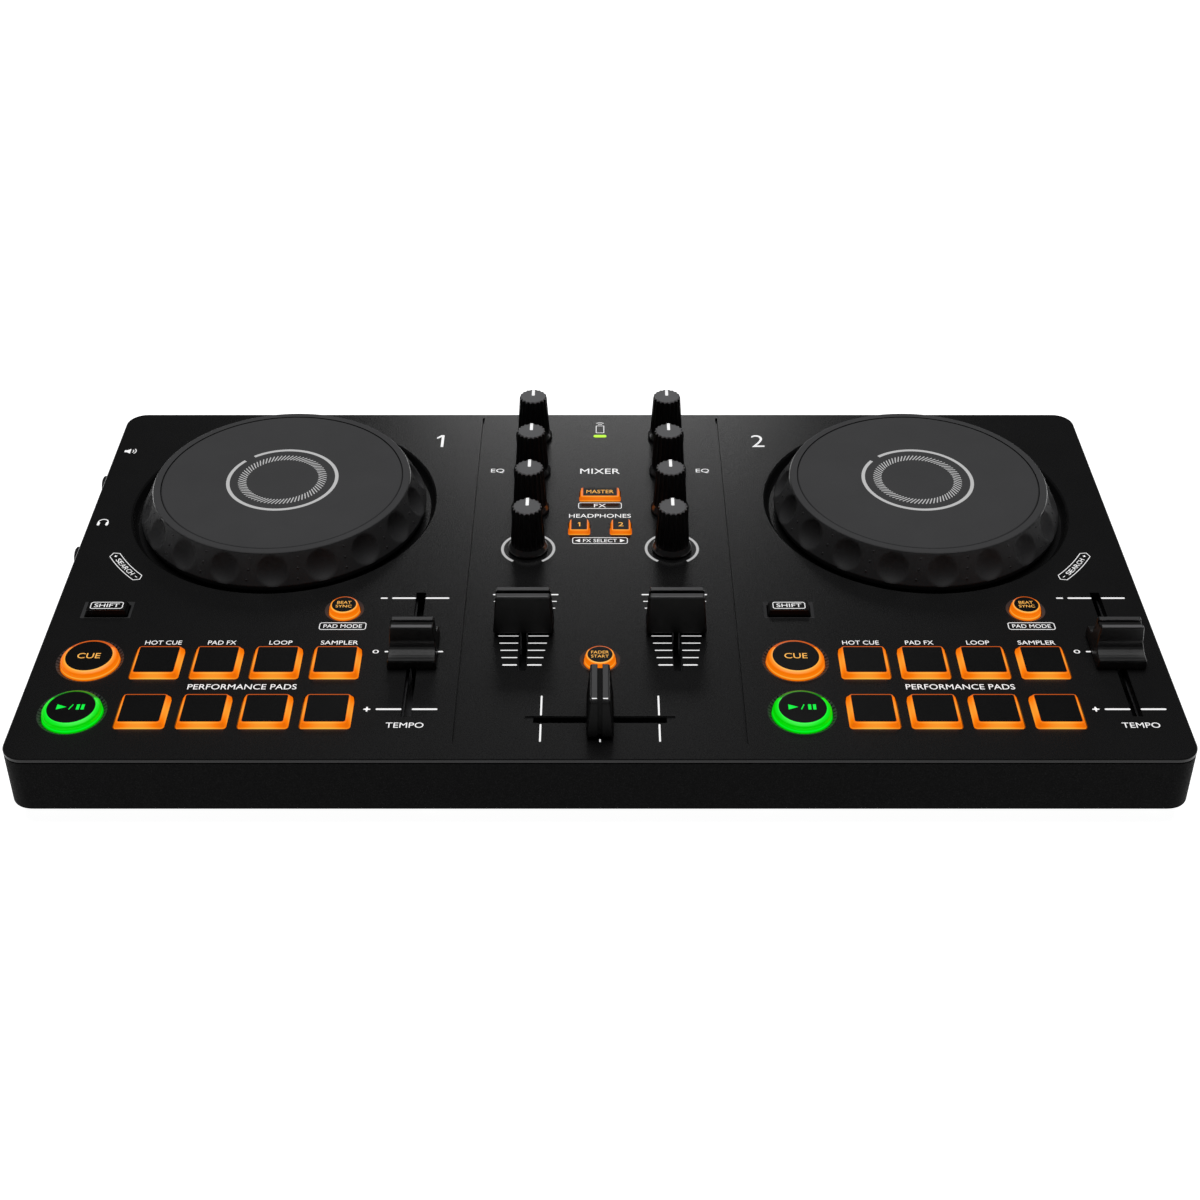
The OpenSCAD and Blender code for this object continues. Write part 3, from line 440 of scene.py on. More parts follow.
def words_mesh(words, width, height, weight):
    """Points and faces of a flat word of that size, centred, PRINT thick."""
    curve = bpy.data.curves.new("words", "FONT")
    curve.body = words
    curve.extrude = 0.02
    curve.offset = weight
    curve.resolution_u = 4
    carrier = bpy.data.objects.new("words", curve)
    bpy.context.scene.collection.objects.link(carrier)
    bpy.context.view_layer.update()
    graph = bpy.context.evaluated_depsgraph_get()
    mesh = bpy.data.meshes.new_from_object(carrier.evaluated_get(graph))
    work = bmesh.new()
    work.from_mesh(mesh)
    bmesh.ops.remove_doubles(work, verts=work.verts, dist=1e-5)
    points = np.array([v.co for v in work.verts], float)
    faces = [tuple(v.index for v in f.verts) for f in work.faces]
    work.free()
    bpy.data.objects.remove(carrier)
    bpy.data.curves.remove(curve)
    bpy.data.meshes.remove(mesh)
    low, high = points.min(0), points.max(0)
    points -= (low + high) / 2
    points *= np.array([width, height, PRINT]) / (high - low)
    return points, faces


class Print(Shape):
    """Flat printed marks on a surface at height z. A turn is an angle in degrees."""

    def __init__(self, z=0.0):
        super().__init__()
        self.low, self.high = z - 0.01, z + PRINT

    def words(self, words, x, y, width, height, turn=0.0, weight=0.0):
        points, faces = words_mesh(words, width, height, weight)
        a = math.radians(turn)
        self.add([(x + u * math.cos(a) - v * math.sin(a), y + u * math.sin(a) + v * math.cos(a),
                   (self.low + self.high) / 2 + w) for u, v, w in points], faces)

    def bar(self, x0, y0, x1, y1, width):
        """Straight stroke with round ends."""
        a, half = math.atan2(y1 - y0, x1 - x0), width / 2
        outline = [(cx + half * math.cos(a + turn + math.pi * k / 6),
                    cy + half * math.sin(a + turn + math.pi * k / 6))
                   for cx, cy, turn in ((x1, y1, -math.pi / 2), (x0, y0, math.pi / 2))
                   for k in range(7)]
        self.fill(outline)

    def arc(self, x, y, inner, outer, start, end, steps=48, finish=0):
        """Part of a ring between two radii and two angles in degrees."""
        angles = np.radians(np.linspace(start, end, steps + 1))
        far, near = ([(x + r * math.cos(a), y + r * math.sin(a)) for a in angles]
                     for r in (outer, inner))
        self.loft([[(*a, self.low), (*a, self.high), (*b, self.high), (*b, self.low)]
                   for a, b in zip(far, near)], finish)

    def fill(self, outline):
        """Filled outline."""
        self.plate(outline, self.low, self.high)

    def frame(self, outline, line):
        """Closed line of that width just inside a convex outline."""
        self.strip(outline, shrunk(outline, line), self.low, self.high)

    def pill(self, x, y, width, depth, corner, line):
        """Rectangle with round corners, drawn as a line of that width."""
        ring = box_ring(width, depth, corner, 0, x, y, 5, 1)
        self.frame([p[:2] for p in ring], line)


def figure_one(marks, x, y, height, line):
    """The figure 1 drawn as one outline."""
    top, foot, right, left = y + height / 2, y - height / 2, x + 0.16 * height, x - 0.17 * height
    marks.fill([(right, foot), (right, top), (right - 1.2 * line, top),
                (left, top - 0.2 * height), (left, top - 0.2 * height - line),
                (right - line, top - 1.25 * line), (right - line, foot)])


def triangle(marks, x, y, width, height, towards):
    """Filled arrowhead centred on (x, y) that points towards +x or -x."""
    marks.fill([(x - towards * width / 2, y - towards * height / 2),
                (x + towards * width / 2, y),
                (x - towards * width / 2, y + towards * height / 2)])


def deck_print(marks, side):
    """Everything printed round one deck."""
    deck = DECK_X[side]
    for words, k, width in (("HOT CUE", 1, 12.6), ("PAD FX", 2, 9.7), ("LOOP", 3, 7.9),
                            ("SAMPLER", 4, 12.9)):
        marks.words(words, case_box(f"{side}_pad_{k}")[0][0], 60.4, width, 2.2)
    marks.words("PERFORMANCE PADS", deck + 0.4, 36.45, 36.5, 2.7)

    slot = case_box(f"{side}_tempo_slider")[0][0]
    marks.words("TEMPO", slot, 16.8, 12.4, 2.6)
    for y in (86.0, 24.85):
        for s in (-1, 1):
            marks.bar(slot + s * 2.1, y, slot + s * 9.8, y, 0.8)
    for s in (-1, 1):
        marks.bar(slot + s * 8.6, 55.4, slot + s * 9.7, 55.4, 0.7)
    marks.bar(slot - 13.9, 86, slot - 12.1, 86, 0.7)
    marks.words("0", slot - 13.1, 55.4, 2.2, 1.9)
    marks.bar(slot - 14.0, 24.85, slot - 12.2, 24.85, 0.6)
    marks.bar(slot - 13.1, 23.95, slot - 13.1, 25.75, 0.6)

    label = case_box(f"{side}_sync_button")[0][0] + 0.4
    marks.pill(label, 69.7, 16.4, 4.1, 1.0, LABEL_LINE)
    marks.words("PAD MODE", label, 69.7, 13.4, 2.0)
    search_print(marks, side)


def search_print(marks, side):
    """Outlined label that curves round the front corner of a jog wheel."""
    deck, inner, outer = DECK_X[side], 65.1, 69.2
    start, end = (209, 227) if side == "left" else (313, 331)
    angles = np.radians(np.linspace(start + 1.3, end - 1.3, 21))
    middle = (inner + outer) / 2

    def on(radius, angle):
        return (deck + radius * math.cos(angle), JOG_Y + radius * math.sin(angle))

    outline = [on(outer, a) for a in angles] + [on(middle, math.radians(end))]
    outline += [on(inner, a) for a in angles[::-1]] + [on(middle, math.radians(start))]
    marks.frame(outline, 0.26)
    letters = "SEARCH"
    for k, letter in enumerate(letters):
        angle = (start + end) / 2 + (k - (len(letters) - 1) / 2) * 1.75
        x, y = on(middle, math.radians(angle))
        marks.words(letter, x, y, 1.75, 1.9, turn=angle + 90)
    # A minus at one end and a plus at the other
    for sign in (-1, 1):
        angle = (start + end) / 2 + sign * 6.9
        x, y = on(middle, math.radians(angle))
        u, v = (0.45 * f(math.radians(angle + 90)) for f in (math.cos, math.sin))
        marks.bar(x - u, y - v, x + u, y + v, 0.28)
        if sign == SIDES[side]:
            marks.bar(x + v, y - u, x - v, y + u, 0.28)


def mixer_print(marks):
    """Everything printed between the decks."""
    for side, s in SIDES.items():
        fader = case_box(f"{side}_channel_fader")[0][0]
        for k in range(11):
            y, half = 48.1 + 4 * k, 6.7 + 0.5 * k
            thick = 0.65 if k in (0, 10) else 0.45
            for t in (-1, 1):
                marks.bar(fader + t * (1.7 + thick / 2), y, fader + t * (half - thick / 2), y, thick)
        marks.words("EQ", s * 40.1, 169.2, 5.2, 3.0)
        for start in (-56, 120):
            marks.arc(*case_box(f"{side}_filter_knob")[0], 9.0, 10.0, start, start + 116, finish=1)
        marks.bar(s * 19.4, 8.9, s * 19.4, 17.0, 0.6)
        marks.bar(s * 19.4, 22.0, s * 19.4, 31.5, 0.6)
    marks.bar(0, 8.7, 0, 9.6, 0.5)
    figure_one(marks, -64.0, 191.2, 8.8, 1.05)
    marks.words("2", 63.2, 191.2, 5.0, 8.8, weight=-0.01)
    marks.words("MIXER", 0, 169, 15.5, 3.6)
    marks.pill(0, 144.9, 16.6, 4.2, 1.0, LABEL_LINE)
    marks.words("FX", 0, 144.9, 4.6, 2.3)
    marks.words("HEADPHONES", 0, 138.0, 23.4, 2.5)
    marks.pill(0, 121.7, 20.6, 4.1, 1.0, LABEL_LINE)
    marks.words("FX SELECT", 0, 121.7, 12.6, 2.1)
    triangle(marks, 8.3, 121.7, 1.8, 2.1, 1)
    triangle(marks, -8.3, 121.7, 1.8, 2.1, -1)


def icon_print(marks):
    """Speaker, headphones and telephone symbols."""
    x, y = -186.9, 183.6
    marks.fill([(x - 2.2, y - 0.7), (x - 1.2, y - 0.7), (x + 0.2, y - 1.7), (x + 0.2, y + 1.7),
                (x - 1.2, y + 0.7), (x - 2.2, y + 0.7)])
    for radius in (1.2, 2.2):
        marks.arc(x + 0.2, y, radius - 0.17, radius + 0.17, -48, 48, 10)
    x, y = -187.0, 133.8
    marks.arc(x, y, 1.6, 2.0, -8, 188, 20)
    for s in (-1, 1):
        marks.bar(x + s * 1.6, y - 0.5, x + s * 1.6, y - 1.7, 1.0)
    marks.pill(0, 200.1, 3.4, 5.6, 0.3, 0.3)
    for radius in (1.2, 2.3):
        marks.arc(0, 202.9, radius - 0.17, radius + 0.17, 50, 130, 10)


def jog_print(side, grey_ink):
    """Broken ring and slanting ticks in the middle of a platter."""
    (x, y), _, high = case_box(f"{side}_jog_platter")
    marks = Print(high[2])
    marks.arc(x, y, 19.8, 21.1, 141, 129 + 360, 120)
    count, slant = 72, math.radians(6.5)
    for k in range(count):
        a = 2 * math.pi * k / count
        marks.bar(x + 13.7 * math.cos(a), y + 13.7 * math.sin(a),
                  x + 16.5 * math.cos(a - slant), y + 16.5 * math.sin(a - slant), 0.42)
    marks.build(f"{side}_platter_print", f"{side}_jog", "platter_plastic", [grey_ink])


# ---------- jog wheels ----------

WHEEL_TOP_R, SEAM_R, PLATTER_R = 48.4, 45.5, 45.2
DIMPLES, FIRST_DIMPLE = 18, -7.0
DIMPLE_R, DIMPLE_DEPTH = 5.65, 2.1
COLUMNS = 720


def carved_slope(x, y, foot_r, height):
    """Rings of the sloping side, from its foot up, with round finger dimples pressed in."""
    run, rise = foot_r - WHEEL_TOP_R, height - 0.5
    length = math.hypot(run, rise)
    angles = np.arange(COLUMNS) * 2 * math.pi / COLUMNS
    pitch = 2 * math.pi / DIMPLES
    from_dimple = (angles - math.radians(FIRST_DIMPLE) + pitch / 2) % pitch - pitch / 2
    across = from_dimple * (foot_r - run / 2)
    rings = []
    for t in np.linspace(0, 1, 27):
        along = (t - 0.5) * length
        depth = DIMPLE_DEPTH * (1 - (across**2 + along**2) / DIMPLE_R**2)
        depth = (depth + np.sqrt(depth**2 + 0.12**2)) / 2
        depth[depth < 0.004] = 0
        radius = foot_r - run * t - depth * rise / length
        z = rise * t - depth * run / length
        rings.append([(x + r * math.cos(a), y + r * math.sin(a), h)
                      for r, h, a in zip(radius, z, angles)])
    return rings


def pip(shape, x, y, z, out, up, radius):
    """Small raised dot on a slope whose outward direction is (cos out, sin out, up)."""
    normal = np.array([math.cos(out), math.sin(out), up])
    normal /= np.linalg.norm(normal)
    side = np.array([-math.sin(out), math.cos(out), 0])
    lift = np.cross(normal, side)
    centre = np.array([x, y, z]) - normal * radius * 0.45
    rings = []
    for tilt in (-20, 10, 35, 60, 80):
        a = math.radians(tilt)
        rings.append([tuple(centre + radius * (math.cos(a) * (side * math.cos(b) + lift * math.sin(b))
                                               + normal * math.sin(a)))
                      for b in np.arange(10) * math.pi / 5])
    shape.loft(rings)


def jog_wheel(side, rubbery, top, edge):
    """Hollow wheel with a dimpled slope, a seat for its platter and a bush for its axle."""
    (x, y), low, high = case_box(f"{side}_jog_wheel")
    foot_r, foot_z, height = (high[0] - low[0]) / 2, low[2], high[2]
    wheel = Shape()
    slope = carved_slope(x, y, foot_r, height)
    web_z, web, bush_r = 3.6, 2.0, 4.1
    # From the top edge, over the platter's seat and the web, and back down to the foot
    section = rounded([(WHEEL_TOP_R, height - 0.5), (WHEEL_TOP_R - 0.5, height),
                       (SEAM_R, height)], [0, 0.35, 0])[1:]
    section += [(SEAM_R + 0.12, height - 0.25), (SEAM_R, height - 0.6), (SEAM_R, height - 2),
                (PLATTER_R - 2.4, height - 2), (PLATTER_R - 2.4, height - 3.4),
                (SEAM_R, web_z + web), (bush_r, web_z + web), (bush_r, foot_z), (9, foot_z),
                (9, web_z), (SEAM_R + 0.3, web_z), (SEAM_R + 0.3, foot_z),
                (foot_r - 0.3, foot_z)]
    rings = slope + [circle(r, z, COLUMNS, x, y) for r, z in section]
    brim = len(slope) - 1
    wheel.loft(rings, [2 if k == brim else 1 if brim < k < brim + 7 else 0
                       for k in range(len(rings))], wrap=True)

    # The comb that the encoder reads
    inner_r, outer_r, teeth = 36.4, 37.6, 36
    pitch = 2 * math.pi / teeth
    for k in range(teeth):
        angles = (k + 0.35 + np.linspace(0, 0.54, 4)) * pitch
        outline = [(x + r * math.cos(a), y + r * math.sin(a))
                   for r, turn in ((outer_r, angles), (inner_r, angles[::-1])) for a in turn]
        wheel.plate(outline, foot_z, web_z + 0.2)

    # A row of raised dots between each two dimples
    run, rise = foot_r - WHEEL_TOP_R, height - 0.5
    for k in range(DIMPLES):
        a = math.radians(FIRST_DIMPLE + (k + 0.5) * 360 / DIMPLES)
        for t, lean in ((0.86, 0.9), (0.52, 0.3), (0.2, -0.3)):
            b = a + math.radians(lean)
            r = foot_r - run * t
            pip(wheel, x + r * math.cos(b), y + r * math.sin(b), rise * t, b, run / rise, 0.5)
    piece = wheel.build(f"{side}_jog_ring", f"{side}_jog", "wheel_plastic", [rubbery, top, edge], 40)
    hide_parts(f"{side}_jog_wheel")


def jog_platter(side, top):
    """Flat disc that sits in the top of a jog wheel."""
    (x, y), low, high = case_box(f"{side}_jog_platter")
    platter = Shape()
    z, deep = high[2], low[2]
    profile = rounded([(PLATTER_R - 4, deep), (PLATTER_R - 2.5, deep), (PLATTER_R - 2.5, z - 2),
                       (PLATTER_R, z - 2), (PLATTER_R, z - 0.3), (PLATTER_R - 0.35, z),
                       (PLATTER_R - 3, z)], [0, 0, 0, 0.2, 0.15, 0.15, 0])
    profile += [(22.0, z), (8.0, z)]
    platter.lathe(profile, x, y, count=240)
    piece = platter.build(f"{side}_platter_disc", f"{side}_jog", "platter_plastic", [top], 30)
    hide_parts(f"{side}_jog_platter")


# ---------- knobs ----------


FLUTES, FLUTE_STEPS = 18, 10
KNOB_POINTS = FLUTES * FLUTE_STEPS


def fluted_ring(radius, depth, z, x, y):
    """Circle with round grooves of that depth pressed into it."""
    points = []
    for k in range(KNOB_POINTS):
        a = 2 * math.pi * k / KNOB_POINTS
        from_flute = abs((k % FLUTE_STEPS) / FLUTE_STEPS - 0.5) * 2
        groove = depth * max(0.0, 1 - (from_flute / 0.78) ** 2) ** 0.6
        points.append((x + (radius - groove) * math.cos(a), y + (radius - groove) * math.sin(a), z))
    return points


def knob(node, black, painted_top_sheen, white, painted_rim_highlight, satin_and_painted_sheen):
    """Fluted knob on a round flange, with a sunk top disc and a white pointer."""
    (x, y), low, high = case_box(node)
    top, flange = high[2], (high[0] - low[0]) / 2
    body_r, top_r, shaft_r = 6.35, 5.35, 2.9
    shape = Shape()
    skirt = rounded([(flange - 0.6, 0.5), (flange, 0.5), (flange, 1.3), (body_r + 0.2, 2.6),
                     (body_r, 3.1)], [0, 0.2, 0.4, 0.3, 0])
    rings = [circle(r, z, KNOB_POINTS, x, y) for r, z in skirt]
    for t in (0, 0.03, 0.08, 0.5, 0.94, 1):
        z = 3.1 + (top - 0.5 - 3.1) * t
        r = body_r + (top_r - body_r) * t
        rings.append(fluted_ring(r, 0.6 * min(1, t / 0.08), z, x, y))
    sides = len(rings) - 1
    for inset, depth, drop in ((0.12, 0.5, 0.2), (0.35, 0.36, 0), (0.5, 0.3, 0), (0.6, 0.25, 0.06)):
        rings.append(fluted_ring(top_r - inset, depth, top - drop, x, y))
    rings.append(circle(top_r - 1.6, top - 0.06, KNOB_POINTS, x, y))
    # The rim of the top is painted light grey as a highlight, and the top itself has a grey painted
    # sheen for the overhead light it reflects.
    shape.loft(rings, [4] * len(skirt) + [0] * (sides - len(skirt)) + [3, 3, 1, 1, 1, 0, 1])
    shaft = [(shaft_r, low[2]), (shaft_r, 0.7)]
    shape.lathe(rounded([(shaft_r - 0.4, low[2]), *shaft], [0, 0.3, 0]), x, y)
    pointer = box_ring(1.15, top_r - 0.5, 0.25, 0, x, y + (top_r + 0.42) / 2, 3, 1)
    shape.loft([[(px, py, z) for px, py, _ in pointer] for z in (top - 0.3, top - 0.01)], 2)
    drop = box_ring(1.15, 0.5, 0.1, 0, x, y + top_r - 0.32, 2, 1)
    shape.loft([[(px, py + (top - z) * 0.06, z) for px, py, _ in drop]
                for z in (top - 1.1, top - 0.03)], 2)
    piece = shape.build(f"{node}_cap", node, "knob_plastic",
                        [black, painted_top_sheen, white, painted_rim_highlight, satin_and_painted_sheen], 28)
    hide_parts(node)


# ---------- sliders ----------


def swept_cap(shape, section, x, y, foot, top, height):
    """Cap whose (y, z) section runs along x. Its length shrinks from foot to top, and the
    ends have a small bevel all round."""
    bevel = 0.35
    small = shrunk(section, bevel)
    rings = []
    for end, outline, inset in ((-1, small, 0), (-1, section, 0.8 * bevel),
                                (1, section, 0.8 * bevel), (1, small, 0)):
        rings.append([(x + end * (foot / 2 + (top - foot) / 2 * (z - 0.5) / (height - 0.5) - inset),
                       y + across, z) for across, z in outline])
    shape.loft(rings)


def lever(shape, x, y, low_z, width, depth):
    """Blade under a cap, which reaches down through the slot into the slider's unit."""
    shape.loft([box_ring(width, depth, 0.3, z, x, y, 3, 1) for z in (low_z, 2.0)])


def fin_cap(node, black, painted_top_sheen, white, edge):
    """Tall straight cap with a groove along its top and down both ends."""
    (x, y), low, high = case_box(node)
    turned = high[1] - low[1] > high[0] - low[0]
    long, wide = (high[1] - low[1], high[0] - low[0]) if turned else (high[0] - low[0],
                                                                       high[1] - low[1])
    foot, top, corner = 1.5, high[2], 0.4
    notch, groove = 0.8, 1.2  # half the width of the groove, and its depth

    def ring(z, points):
        return [(x - v, y + u, z) if turned else (x + u, y + v, z) for u, v in points]

    def half_size(z, inset):
        t = (z - foot) / (top - foot)
        return long / 2 - 1.1 * t - inset, wide / 2 - 1.35 * t - inset

    shape = Shape()
    rings = []
    for z, inset in ((foot, 0.3), (foot + 0.3, 0), (top - groove, 0)):
        length, width = half_size(z, inset)
        side = [(length - 1.1, notch), (length, notch), (length, width - corner),
                (length - corner, width)]
        side += [(-u, v) for u, v in side[::-1]]
        rings.append(ring(z, side + [(-u, -v) for u, v in side]))
    shape.loft(rings)
    # The two lands either side of the groove, with a grey painted sheen on top and satin bevels
    for s in (-1, 1):
        rings = []
        for z, inset, lip in ((top - groove - 0.4, 0, 0), (top - 0.5, 0, 0), (top - 0.15, 0.3, 0),
                              (top, 0.5, 0.12)):
            length, width = half_size(z, inset)
            side = [(length, notch + lip), (length, width - corner), (length - corner, width)]
            rings.append(ring(z, [(u, s * v) for u, v in side + [(-u, v) for u, v in side[::-1]]]))
        shape.loft(rings, [0, 3, 3, 0, 1])
        if turned:
            front = y - half_size(top, 0.5)[0]
            shape.loft([box_ring(1.6, 0.45, 0.1, z, x + s * (notch + 1.0), front + 0.35, 2, 1)
                        for z in (top - 0.1, top + 0.02)], 2)
    lever(shape, x, y, low[2], *((3.2, 1.6) if turned else (1.6, 3.8)))
    piece = shape.build(f"{node}_cap", node, "cap_plastic", [black, painted_top_sheen, white, edge], 30)
    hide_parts(node)


def tempo_cap(node, black, painted_top_sheen, line):
    """Saddle cap: a grooved ridge between two hollow-curved skirts."""
    (x, y), low, high = case_box(node)
    top, half = high[2], (high[1] - low[1]) / 2
    ridge, waist, lip = 3.3, 7.5, 3.9
    reach = half - 0.7
    skirt = [(reach - (reach - ridge) * math.sin(a), waist - (waist - lip) * math.cos(a))
             for a in np.linspace(0, math.pi / 2, 9)]
    right = [(half, 0.5), (half, lip - 0.5), (half - 0.4, lip), *skirt, (ridge, top - 0.35),
             (ridge - 0.35, top), (1.4, top), (1.1, top - 0.9)]
    section = rounded(right + [(-u, v) for u, v in right[::-1]], 0.12, closed=True, steps=2)
    shape = Shape()
    width = high[0] - low[0]
    swept_cap(shape, section, x, y, width, width - 2.2, top)
    lever(shape, x, y, low[2], 1.6, 7.4)
    # Lands with a grey painted sheen at the back and a lighter painted highlight at the front, with
    # the same painted highlight on the back wall of the groove between them
    for middle, deep, z, finish in ((2.25, 1.4, top, 1), (-2.25, 1.4, top, 2), (1.33, 0.1, top, 2)):
        shape.loft([box_ring(width - 3.2, deep, 0.04, h, x, y + middle, 2, 1)
                    for h in (z - 0.8, z + 0.012)], finish)
    piece = shape.build(f"{node}_cap", node, "cap_plastic", [black, painted_top_sheen, line], 30)
    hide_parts(node)


# ---------- pads and buttons ----------


def pad(node, black, amber):
    """Black square top over a sloping lit skirt."""
    (x, y), low, high = case_box(node)
    top, size, plate = high[2], high[0] - low[0] - 2 * FLANGE_OVERHANG, 13.6
    flange_low, flange_high = -3.7, -2.7
    shape = Shape()
    rim = plate + 0.8
    # Side, height and painted highlight of each ring of the skirt: how much brighter than the rest it
    # is painted
    levels = [(size - 1, -2.8, -0.3), (size, -2.7, -0.3), (size, 0.05, 0.3),
              (size - 0.25, 0.35, 0), (rim + 0.4, top - 0.6, 0), (rim, top - 0.15, 0.25),
              (rim - 0.2, top - 0.04, 0.1), (plate + 0.1, top - 0.04, -0.1),
              (plate - 0.2, top - 0.2, -0.3)]
    rings, glow = [], []
    for side, z, extra in levels:
        ring = box_ring(side, side, 1.0 * side / size, z, x, y, 4, 8)
        rings.append(ring)
        for px, py, _ in ring:
            u, v = (px - x) / (side / 2), (py - y) / (side / 2)
            along = min(abs(u), abs(v))
            # Glow fades towards the corners; the painted highlight is full along the front, and the
            # back of the skirt is painted almost dark, as in shade
            shade = 0.68 - 0.42 * along**2 + extra * (1 if v < -0.9 else 0.4)
            glow.append(max(0.0, min(1.0, 0.05 if v > 0.93 else shade)))
    shape.loft(rings, 1, glow)
    cover = rounded([(plate, top - 0.25), (plate, top - 0.1), (plate - 0.2, top)], [0, 0.1, 0])
    cover += [(plate - 1.0, top), (plate - 2.5, top - 0.02)]
    shape.loft([box_ring(w, w, 0.5 * w / plate, z, x, y, 4, 8) for w, z in cover], 0)
    # Flange and stem under the panel, painted dim as in shade
    shape.loft([box_ring(size + 2, size + 2, 1.6, z, x, y, 4, 1)
                for z in (flange_low, flange_high)], 1, 0.2)
    shape.loft([box_ring(8, 8, 0.5, z, x, y, 3, 1) for z in (low[2], flange_low + 0.1)], 1, 0.2)
    piece = shape.build(f"{node}_cap", node, "amber_light", [black, amber], 30)
    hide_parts(node)


def round_button(node, slot, black, light):
    """Flat black disc in a lit ring with a stepped slope."""
    (x, y), low, high = case_box(node)
    top = high[2]
    radius = (high[0] - low[0]) / 2 - FLANGE_OVERHANG
    disc = 0.81 * radius
    # Radius, height and glow of each ring of the slope: lamp glow with painted highlight bands,
    # brightest at the edge of the disc and the foot of the slope
    levels = [(radius - 0.5, -2.9, 0.2), (radius, -2.7, 0.2), (radius, -0.5, 0.4),
              (radius - 0.03, 0.05, 0.95), (radius - 0.1, 0.3, 0.55),
              (radius - 0.2, 0.45 * top, 0.5),
              (radius - 0.5, 0.66 * top, 0.4), (radius - 0.8, 0.78 * top, 0.6),
              (disc + 0.4, top - 0.16, 0.75), (disc + 0.12, top - 0.04, 1.0),
              (disc - 0.1, top - 0.04, 0.8), (disc - 0.2, top - 0.4, 0.2)]
    count = 96
    glow = []
    for _, _, shade in levels:
        for k in range(count):
            # The front of the slope is painted brighter and the back painted almost dark, as in shade
            facing = -math.sin(2 * math.pi * k / count)
            glow.append(shade * (0.84 + 0.16 * facing) * (1.0 if facing > -0.6 else 0.15))
    shape = Shape()
    shape.loft([circle(r, z, count, x, y) for r, z, _ in levels], 1, glow)
    shape.lathe(rounded([(disc, top - 0.4), (disc, top - 0.1), (disc - 0.2, top), (disc - 1, top)],
                        [0, 0.1, 0.1, 0]) + [(disc * 0.5, top - 0.015)], x, y, 0)
    # Flange and stem under the panel, painted dim as in shade
    shape.lathe([(radius + 1, -3.7), (radius + 1, -2.7)], x, y, 1, 0.2)
    shape.lathe([(2, low[2]), (2, -3.6)], x, y, 1, 0.2)
    piece = shape.build(f"{node}_cap", node, slot, [black, light], 30)
    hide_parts(node)
    return x, y, top


def rect_button(node, slot, sides, black, top_size, ahead, back_rim=0.5):
    """Rectangular key: sides of one material round a plate of another, which sits that far
    ahead of the middle."""
    (x, y), low, high = case_box(node)
    top = high[2]
    width, depth = (high - low)[:2] - 2 * FLANGE_OVERHANG
    upper, across = depth - back_rim, width - 0.9
    shape = Shape()
    # Width, depth, height and glow of each ring of the sides: lamp glow with painted highlight bands
    steps = [(width - 0.6, depth - 0.6, -2.9, 0.2), (width, depth, -2.7, 0.2),
             (width, depth, 0.08, 0.8), (width - 0.15, depth - 0.1, 0.4, 0.4),
             (across + 0.15, upper + 0.1, top - 0.55, 0.45), (across, upper, top - 0.2, 0.8),
             (across - 0.2, upper - 0.15, top - 0.04, 0.85),
             (across - 0.5, upper - 0.4, top - 0.04, 0.5)]
    rings, glow = [], []
    for w, d, z, shade in steps:
        ring = box_ring(w, d, 0.4, z, x, y, 3, 5)
        rings.append(ring)
        for px, py, _ in ring:
            v = (py - y) / (d / 2)
            # The back is painted almost dark and the ends darker, as in shade
            glow.append(0.05 if v > 0.9 else shade - 0.15 * abs((px - x) / (w / 2)) ** 3)
    shape.loft(rings, [1, 1, 1, 1, 1, 2, 1, 1, 1], glow)
    w, d = top_size
    cover = [(0, top - 0.3), (0, top - 0.08), (0.15, top), (1.0, top)]
    shape.loft([box_ring(w - i, d - i, 0.2, z, x, y - ahead, 3, 5) for i, z in cover], 0)
    # Flange and stem under the panel, painted dim as in shade
    shape.loft([box_ring(width + 2, depth + 2, 1, z, x, y, 3, 1) for z in (-3.7, -2.7)], 1, 0.2)
    shape.lathe([(2, low[2]), (2, -3.6)], x, y, 1, 0.2)
    piece = shape.build(f"{node}_cap", node, slot, [black, *sides], 30)
    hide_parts(node)
    return x, y - ahead, top


def hole_bevels(satin_and_painted_sheen):
    """Bevels round the holes of the round and shift buttons, painted lighter than the panel as a
    sheen for the light they catch.
    """
    shape = Shape()
    deep, wide, gap, lift = 0.6, 1.5, 0.46, 0.015
    section = [(gap, lift - deep), (wide, lift), (wide, -0.1), (gap, -deep - 0.1)]
    names = [f"{side}_{kind}_button" for side in SIDES for kind in ("cue", "play", "sync")]
    for node in (*names, "fader_start_button"):
        (x, y), low, high = case_box(node)
        radius = (high[0] - low[0]) / 2 - FLANGE_OVERHANG
        shape.lathe([(radius + out, z) for out, z in section], x, y, wrap=True)
    for side in SIDES:
        (x, y), low, high = case_box(f"{side}_shift_button")
        w, d = (high - low)[:2] - 2 * FLANGE_OVERHANG
        shape.loft([box_ring(w + 2 * out, d + 2 * out, 0.3, z, x, y, 3, 1)
                    for out, z in section], wrap=True)
    shape.build("hole_bevels", "case", "panel_plastic", [satin_and_painted_sheen])


# ---------- sockets ----------


